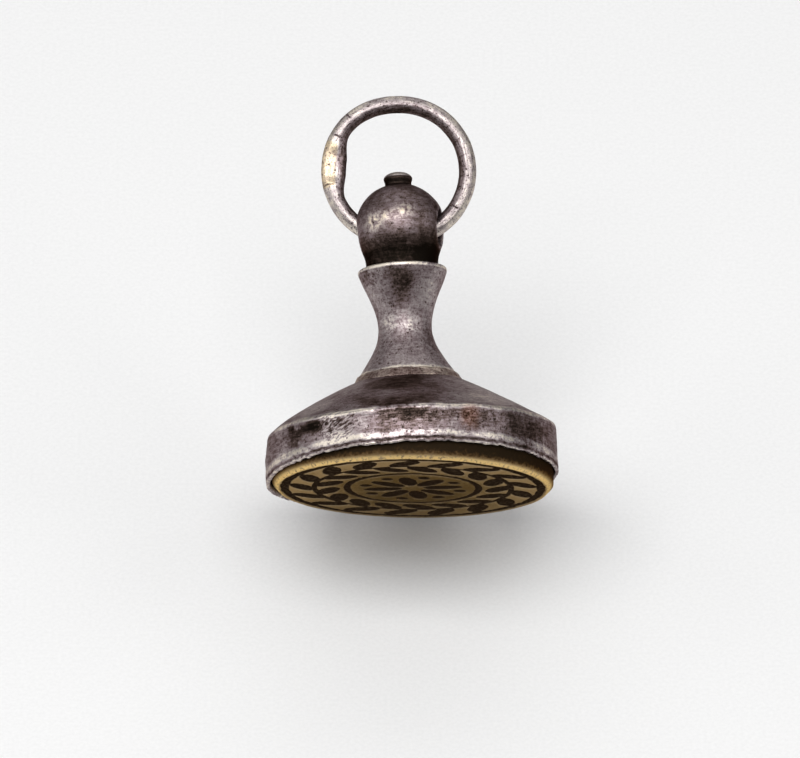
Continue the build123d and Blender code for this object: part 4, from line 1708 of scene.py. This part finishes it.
@dataclass
class Finial:
    """The bored ball and the button on it, in millimetres."""

    ball_radius: float = 4.35
    neck_radius: float = 3.45
    neck_height: float = 0.8
    neck_drop: float = 0.62  # the neck runs down to the worn collar
    bore_drop: float = 0.2
    bore_radius: float = 1.793
    dowel_radius: float = 1.3
    shank_radius: float = 0.7
    fit_gap: float = 0.05
    button_neck: float = 1.27
    button_neck_height: float = 0.3
    button_belly_height: float = 0.33
    button_highlight: float = 0.62  # painted highlight on the button, down from its top
    button_highlight_fade: float = 0.12
    button_segments: int = 128
    voxel: float = 0.07

    def build(self, skin: WeatheredSkin, silver: Material, dark: Material) -> None:
        """Build and dress the ball and the button.

        Args:
            skin: The skin that all metal gets.
            silver: Finish of the ball.
            dark: Finish of the button.
        """
        _, foot, land = reach_of("ball_finial")
        neck_foot = foot - self.neck_drop
        neck_top = foot + self.neck_height
        level = neck_top + math.sqrt(self.ball_radius**2 - self.neck_radius**2)
        ball = empty_piece("ball")
        BoredBall(neck_foot, land, self.ball_radius, self.voxel).bake(
            ball, Material=silver, Ball_Level=level, Ball_Radius=self.ball_radius, Land_Level=land,
            Neck_Radius=self.neck_radius, Neck_Top=neck_top, Foot_Level=neck_foot,
            Bore_Level=level - self.bore_drop, Bore_Radius=self.bore_radius,
            Dowel_Radius=self.dowel_radius, Dowel_End=reach_of("ball_dowel")[2] + self.fit_gap,
            Shank_Radius=self.shank_radius + self.fit_gap,
            Shank_End=reach_of("finial_button")[1] - self.fit_gap,
        )
        skin.bake(ball, Material=silver, Seed=8, Pit_Density=0.4e6, Dent_Size=3.0 * MM, Dent_Depth=0.06 * MM)
        ride_for(ball, "ball_finial", Body.STAMP, Slot.SILVER)
        button = turned("button", self.button_outline(), self.button_segments, rub=self.paint_button_highlight)
        skin.bake(button, Material=dark, Seed=9, Pit_Density=0.5e6, Dent_Size=1.2 * MM, Dent_Depth=0.03 * MM)
        ride_for(button, "finial_button", Body.STAMP, Slot.SILVER)

    def paint_button_highlight(self, places: Array, wear: Array) -> Array:
        """Paint a highlight on the button's crown, up to a dark tip.

        Args:
            places: Radius and height of the rows.
            wear: Wear of the ridges, which the button doesn't show.

        Returns:
            The button's painted highlight, carried as wear.
        """
        below_top = reach_of("finial_button")[2] - places[:, 1]
        rise = limited((self.button_highlight - below_top) / self.button_highlight_fade)
        return rise * limited(below_top / self.button_highlight_fade)

    def button_outline(self) -> Outline:
        """Draw the section of the button, from its shank up.

        Returns:
            The outline.
        """
        radius, low, top = reach_of("finial_button")
        land = reach_of("ball_finial")[2]
        belly = land + self.button_neck_height
        upward = (0.0, 1.0)
        inward = (-1.0, 0.0)
        outline = Outline(softness=0.07, closed=False)
        outline.start(0.0, low)
        outline.line(self.shank_radius, low, spacing=0.3)
        outline.line(self.shank_radius, land, spacing=0.3)
        outline.line(self.button_neck, land, spacing=0.15)
        outline.line(self.button_neck, belly, spacing=0.06)
        outline.line(radius, belly + self.button_belly_height, spacing=0.06)
        outline.curve(0.0, top, upward, inward, spacing=0.06)
        return outline


@dataclass
class SuspensionRing:
    """The wire ring that hangs the seal, in millimetres."""

    ring_radius: float = 6.6
    wire_radius: float = 0.825
    yaw: float = math.radians(7.0)  # the loose ring stands a little askew in its bore
    slip: float = 0.15

    def build(self, skin: WeatheredSkin, silver: Material) -> None:
        """Build and dress the ring.

        Args:
            skin: The skin that all metal gets.
            silver: Finish of the ring.
        """
        top = reach_of("suspension_ring")[2]
        level = (top - self.wire_radius - self.ring_radius) * MM
        ring = empty_piece("ring")
        WireRing().bake(ring, Material=silver, Ring_Level=level, Ring_Radius=self.ring_radius * MM,
                        Wire_Radius=self.wire_radius * MM)
        aside = Matrix.Translation((self.slip * MM, 0.0, 0.0))
        ring.data.transform(aside @ Matrix.Rotation(self.yaw, 4, "Z"))
        skin.bake(ring, Material=silver, Seed=10, Pit_Density=0.5e6, Pit_Radius=0.09 * MM, Dent_Size=2.0 * MM,
                  Dent_Depth=0.03 * MM)
        ride_for(ring, "suspension_ring", Body.RING, Slot.RING)


@dataclass(frozen=True)
class Softbox:
    """A soft studio light, placed as the camera sees it."""

    name: str
    heading: tuple[float, float, float]  # from the object: to the right, up and towards the camera
    width: float
    height: float
    radiance: float
    distance: float = 0.7


@dataclass
class Stage:
    """Camera, lights, pale floor and the pale card behind the object."""

    azimuth: float = math.radians(9.0)
    elevation: float = math.radians(-11.6)
    roll: float = math.radians(2.75)
    distance: float = 1.3
    picture_width: int = 800
    picture_height: int = 758
    base_pixel: tuple[float, float] = (412.7, 485.5)  # where the middle of the seal face shows
    base_width: float = 293.0  # width of the base in the picture
    base_diameter: float = 28.0 * MM
    sensor: float = 36.0
    view_end: float = 10.0  # farthest distance that the camera shows
    card_depth: float = 13.0 * MM  # behind the base, where the card comes nearest
    card_drop: float = 5.0 * MM
    card_lean: float = math.radians(46.0)
    card_reach: float = 0.16
    card_fade: Span = (0.5, 0.95)  # shares of the reach between which a sheet of paper fades out
    floor_level: float = -1.15 * MM
    paper: Colour = (0.885, 0.885, 0.885)
    paper_shade: float = 0.95  # darkest part of the paper's grain
    paper_grain: Clouds = Clouds(0.35 * MM, 2.0)
    paper_span: Span = (0.3, 0.7)
    backdrop: float = 0.87
    ambient: float = 0.22
    lights: tuple[Softbox, ...] = (
        Softbox("key", (-0.12, 0.45, 0.86), 0.7, 0.4, 4.3),
        Softbox("left", (-0.92, 0.25, 0.30), 0.5, 0.6, 1.05),
        Softbox("right", (0.80, 0.35, 0.49), 0.4, 0.5, 1.5),
        Softbox("top", (0.0, 0.98, -0.15), 0.9, 0.6, 0.7),
    )

    def __post_init__(self) -> None:
        """Work out the camera's axes: to the right, up, and from the object to the camera."""
        turn = Matrix.Rotation(self.azimuth, 3, "Z")
        back = turn @ Vector((0.0, -math.cos(self.elevation), math.sin(self.elevation)))
        level_right = turn @ Vector((1.0, 0.0, 0.0))
        level_up = back.cross(level_right)
        right = level_right * math.cos(self.roll) - level_up * math.sin(self.roll)
        up = level_right * math.sin(self.roll) + level_up * math.cos(self.roll)
        self.axes = Matrix((right, up, back)).transposed()

    def build(self) -> None:
        """Build the stage."""
        self.build_camera()
        for light in self.lights:
            self.build_light(light)
        self.build_world()
        paper = self.paper_material()
        self.build_card(paper)
        self.build_floor(paper)
        bpy.context.scene.view_settings.view_transform = "Standard"

    def build_camera(self) -> None:
        """Set the camera so that the seal face shows where the photograph has it."""
        pixel = self.base_diameter / self.base_width
        aside = (self.base_pixel[0] - self.picture_width / 2) * pixel
        below = (self.base_pixel[1] - self.picture_height / 2) * pixel
        camera = bpy.data.cameras.new("camera")
        camera.sensor_width = self.sensor
        camera.lens = self.sensor * self.distance / (self.picture_width * pixel)
        camera.clip_end = self.view_end
        seat = bpy.data.objects.new("camera", camera)
        seat.matrix_world = self.axes.to_4x4()
        seat.location = self.axes @ Vector((-aside, below, self.distance))
        bpy.context.scene.collection.objects.link(seat)
        bpy.context.scene.camera = seat

    def build_light(self, box: Softbox) -> None:
        """Hang one softbox, facing the object.

        Args:
            box: The softbox.
        """
        light = bpy.data.lights.new(box.name, "AREA")
        light.shape = "RECTANGLE"
        light.size = box.width
        light.size_y = box.height
        light.energy = box.radiance * math.pi * box.width * box.height
        heading = (self.axes @ Vector(box.heading)).normalized()
        side = self.axes.col[1].cross(heading).normalized()
        rise = heading.cross(side)
        holder = bpy.data.objects.new(box.name, light)
        holder.matrix_world = Matrix((side, rise, heading)).transposed().to_4x4()
        holder.location = heading * box.distance
        holder.visible_camera = False
        bpy.context.scene.collection.objects.link(holder)

    def build_world(self) -> None:
        """Make the surroundings: pale to the camera, dim to the metal."""
        world = bpy.data.worlds.new("studio")
        world.use_nodes = True
        bpy.context.scene.world = world
        sheet = NodeSheet(world.node_tree)
        sheet.tree.nodes.clear()
        seen = sheet.field("ShaderNodeLightPath", output="Is Camera Ray")
        strength = sheet.blend(seen, self.ambient, self.backdrop)
        glow = sheet.field("ShaderNodeBackground", {"Color": (*WHITE, 1.0), "Strength": strength})
        sheet.node("ShaderNodeOutputWorld", {"Surface": glow})

    def paper_material(self) -> Material:
        """Make pale paper that shows from its front only and fades out towards its edge.

        Returns:
            The material.
        """
        sheet = ShaderSheet("paper")
        away = sheet.length(sheet.place)
        behind = sheet.field("ShaderNodeNewGeometry", output="Backfacing")
        faded = sheet.smooth(away, *(self.card_reach * share for share in self.card_fade))
        clear = sheet.math("MAXIMUM", behind, faded)
        shade = tuple(part * self.paper_shade for part in self.paper)
        stops = tuple(zip(self.paper_span, (shade, self.paper)))
        colour = sheet.ramp(sheet.noise(sheet.place, self.paper_grain), stops)
        paper = sheet.field("ShaderNodeBsdfDiffuse", {"Color": colour})
        gone = sheet.field("ShaderNodeBsdfTransparent")
        surface = sheet.field("ShaderNodeMixShader", {0: clear, 1: paper, 2: gone})
        sheet.node("ShaderNodeOutputMaterial", {"Surface": surface})
        return sheet.material

    def build_sheet(self, name: str, axes: Matrix, place: Vector, paper: Material) -> Object:
        """Lay one square sheet of paper on the stage.

        Args:
            name: The sheet's name.
            axes: Its axes.
            place: Its middle.
            paper: Its material.

        Returns:
            The sheet.
        """
        reach = self.card_reach
        mesh = bpy.data.meshes.new(name)
        corners = [(-reach, -reach, 0.0), (reach, -reach, 0.0), (reach, reach, 0.0), (-reach, reach, 0.0)]
        mesh.from_pydata(corners, [], [(0, 1, 2, 3)])
        mesh.materials.append(paper)
        sheet = bpy.data.objects.new(name, mesh)
        sheet.matrix_world = Matrix.Translation(place) @ axes.to_4x4()
        bpy.context.scene.collection.objects.link(sheet)
        return sheet

    def build_card(self, paper: Material) -> None:
        """Lean the pale card behind the object, level with the camera.

        Args:
            paper: The card's material.
        """
        place = self.axes @ Vector((0.0, -self.card_drop, -self.card_depth))
        axes = self.axes @ Matrix.Rotation(-self.card_lean, 3, "X")
        card = self.build_sheet("card", axes, place, paper)
        card.visible_diffuse = False

    def build_floor(self, paper: Material) -> None:
        """Lay the pale floor, which shows from above only and leaves the light alone.

        Args:
            paper: The floor's material.
        """
        place = Vector((0.0, 0.0, self.floor_level))
        floor = self.build_sheet("floor", Matrix.Identity(3), place, paper)
        floor.visible_diffuse = False
        floor.visible_glossy = False
        floor.visible_shadow = False


def base_silver() -> SilverFinish:
    """Finish of the band and the dome, with the patches of the front: tarnish, scratches, painted highlights
    and painted shade.

    Returns:
        The finish.
    """
    return SilverFinish("base_silver", tone=0.5, streak=0.7, wear_gain=0.5, wear_even=0.65, painted_patches=(
        # left of the band: the light patches along the ridge and over the lower edge are painted highlights,
        # the brushed one is slanting scratches, and the dark patches under the ridge are partly tarnish and
        # partly painted shade
        PaintedPatch(-126.0, 14.0, 4.1, 2.3, -0.5, 2.2, Manner.SOFT),
        PaintedPatch(-133.0, 14.0, 3.5, 2.0, -0.25),
        PaintedPatch(-140.0, 14.0, 2.0, 3.4, 0.22, 2.5),
        PaintedPatch(-136.0, 14.0, 4.6, 0.9, -0.35),
        PaintedPatch(-114.0, 13.9, 4.85, 3.2, 0.3, 5.0),
        PaintedPatch(-111.0, 14.0, 2.5, 3.6, 0.28, 4.0),
        PaintedPatch(-110.0, 14.0, 3.8, 3.2, 0.5, 1.2, Manner.BRUSHED),
        PaintedPatch(-114.0, 14.0, 4.0, 2.0, -0.08),
        # middle and right of the band
        PaintedPatch(-57.0, 14.0, 4.0, 1.5, 0.0, tint=REDDISH),
        PaintedPatch(-80.0, 14.0, 4.3, 2.8, -0.2, 3.0),
        PaintedPatch(-65.0, 14.0, 4.25, 2.4, -0.18, 2.6),
        PaintedPatch(-52.0, 14.0, 3.6, 2.2, -0.15, 1.8),
        PaintedPatch(-81.0, 14.0, 3.6, 6.0, -0.06, 2.0),
        PaintedPatch(-32.0, 14.0, 3.2, 3.2, -0.2, 1.6),
        PaintedPatch(-19.0, 14.0, 3.3, 2.6, -0.15, 1.6),
        # sides and front of the dome, all painted light: the lighter sides and lower slopes are painted
        # highlights, the dark front is a painted reflection of the stem, and the dark strip above the ridge
        # is a painted shadow
        PaintedPatch(-136.0, 9.5, 7.5, 5.0, 0.14, manner=Manner.SOFT),
        PaintedPatch(-30.0, 9.5, 7.5, 5.0, 0.2, manner=Manner.SOFT),
        PaintedPatch(-126.0, 12.2, 6.1, 4.0, 0.14, 3.0, Manner.SOFT),
        PaintedPatch(-46.0, 12.2, 6.1, 5.0, 0.24, 3.0, Manner.SOFT),
        PaintedPatch(-82.0, 7.8, 8.3, 4.2, -0.28, 1.2, Manner.SOFT),
        PaintedPatch(-85.0, 12.7, 5.6, 6.5, -0.18, 5.0, Manner.SOFT),
    ))


def stem_silver() -> SilverFinish:
    """Finish of the stem, with a painted dark reflection on the front of its collar and painted highlights on
    its waist.

    Returns:
        The finish.
    """
    return SilverFinish(
        "stem_silver", tone=0.6, mottle=0.8, mottling=Clouds(0.34 * MM, 4.0, 0.65), speck=0.25, wear_gain=0.7,
        wear_even=0.8, smooth_rough=0.46, painted_patches=(
            # front and left of the collar: the dark front is a painted reflection, and the left has a darker
            # patch
            PaintedPatch(-87.0, 4.2, 20.4, 2.3, -0.14, manner=Manner.SOFT),
            PaintedPatch(-87.0, 4.0, 19.4, 2.1, -0.13, manner=Manner.SOFT),
            PaintedPatch(-85.0, 3.4, 18.1, 1.9, -0.2, manner=Manner.SOFT),
            PaintedPatch(-150.0, 4.2, 20.4, 2.2, -0.22),
            # ends of the collar's bright rim, darkened so that the rim's painted highlight fades towards the
            # sides
            PaintedPatch(-30.0, 4.3, 21.1, 2.8, -0.5, 7.0),
            PaintedPatch(-157.0, 4.3, 21.1, 2.4, -0.5, 7.0),
            # waist: painted highlights, broken into grains
            PaintedPatch(-118.0, 2.6, 15.4, 1.7, 0.25, manner=Manner.GRAINY),
            PaintedPatch(-68.0, 2.6, 15.2, 1.5, 0.22, manner=Manner.GRAINY),
        ),
    )


def ball_silver() -> SilverFinish:
    """Finish of the ball, with painted highlights round its front and painted shade low on its right.

    Returns:
        The finish.
    """
    return SilverFinish(
        "ball_silver", tone=0.45, mottle=0.55, speck=0.2, smooth_rough=0.36, grime_and_shade_gain=0.4, painted_patches=(
            # painted highlights, tinted warm and broken into grains
            PaintedPatch(-117.0, 4.3, 25.2, 2.1, 0.5, 1.2, Manner.GRAINY, WARM_HIGHLIGHT),
            PaintedPatch(-95.0, 4.3, 25.6, 1.6, 0.32, 1.6, Manner.GRAINY, WARM_HIGHLIGHT),
            PaintedPatch(-74.0, 4.3, 26.1, 1.7, 0.42, 1.3, Manner.GRAINY, WARM_HIGHLIGHT),
            # painted shade low on the ball's right
            PaintedPatch(-42.0, 4.0, 23.6, 3.2, -0.12),
        ),
    )


def ring_silver() -> RingFinish:
    """Finish of the ring, a little darker at its top.

    Returns:
        The finish.
    """
    return RingFinish(
        "ring_silver", tone=0.76, cloud=0.4, mottle=0.6, speck=0.5, streak=0.9, streak_stretch=11.0,
        wear_gain=0.3, smooth_rough=0.42,
        painted_patches=(PaintedPatch(0.0, 0.0, 36.9, 4.0, -0.08, manner=Manner.SOFT),),
    )


def solder_silver() -> SilverFinish:
    """Finish of the solder, rough and slightly brassy.

    Returns:
        The finish.
    """
    return SilverFinish(
        "solder", tone=0.66, mottle=0.9, wear_gain=0.2, tint=(1.0, 0.93, 0.82),
        painted_patches=(PaintedPatch(-84.0, 5.0, 10.2, 3.0, -0.12),),
    )


def button_silver() -> SilverFinish:
    """Finish of the button: dark all over, and bright where its crown carries a painted highlight."""
    return SilverFinish("button_silver", tone=0.2, wear_gain=0.65, wear_even=1.0)


def brown_cement() -> MattFinish:
    """Finish of the cement."""
    light = (0.3, 0.19, 0.13)
    return MattFinish("cement", light, dark=(0.16, 0.09, 0.06), metallic=0.0, roughness=0.9)


def dress_hidden(cement: Material, silver: Material) -> None:
    """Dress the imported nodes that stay: the cement under the dome and the dowel in the ball.

    Args:
        cement: Finish of the cement.
        silver: Finish of the dowel.
    """
    for node, material, slot in (("cement_bed", cement, Slot.CEMENT), ("ball_dowel", silver, Slot.SILVER)):
        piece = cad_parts[node]
        piece.data.materials.clear()
        piece.data.materials.append(material)
        LOG.info("%s: packed solid", node)


def main() -> None:
    """Build the wax seal and its stage."""
    logging.basicConfig(level=logging.INFO, format="%(name)s %(message)s")
    stem = stem_silver().material()
    skin = WeatheredSkin()
    SealBase().build(skin, base_silver().material(), BrassFinish("matrix_brass").material())
    WaistedStem().build(skin, stem, solder_silver().material())
    Finial().build(skin, ball_silver().material(), button_silver().material())
    SuspensionRing().build(skin, ring_silver().material())
    dress_hidden(brown_cement().material(), stem)
    Stage().build()


if __name__ == "__main__":
    main()
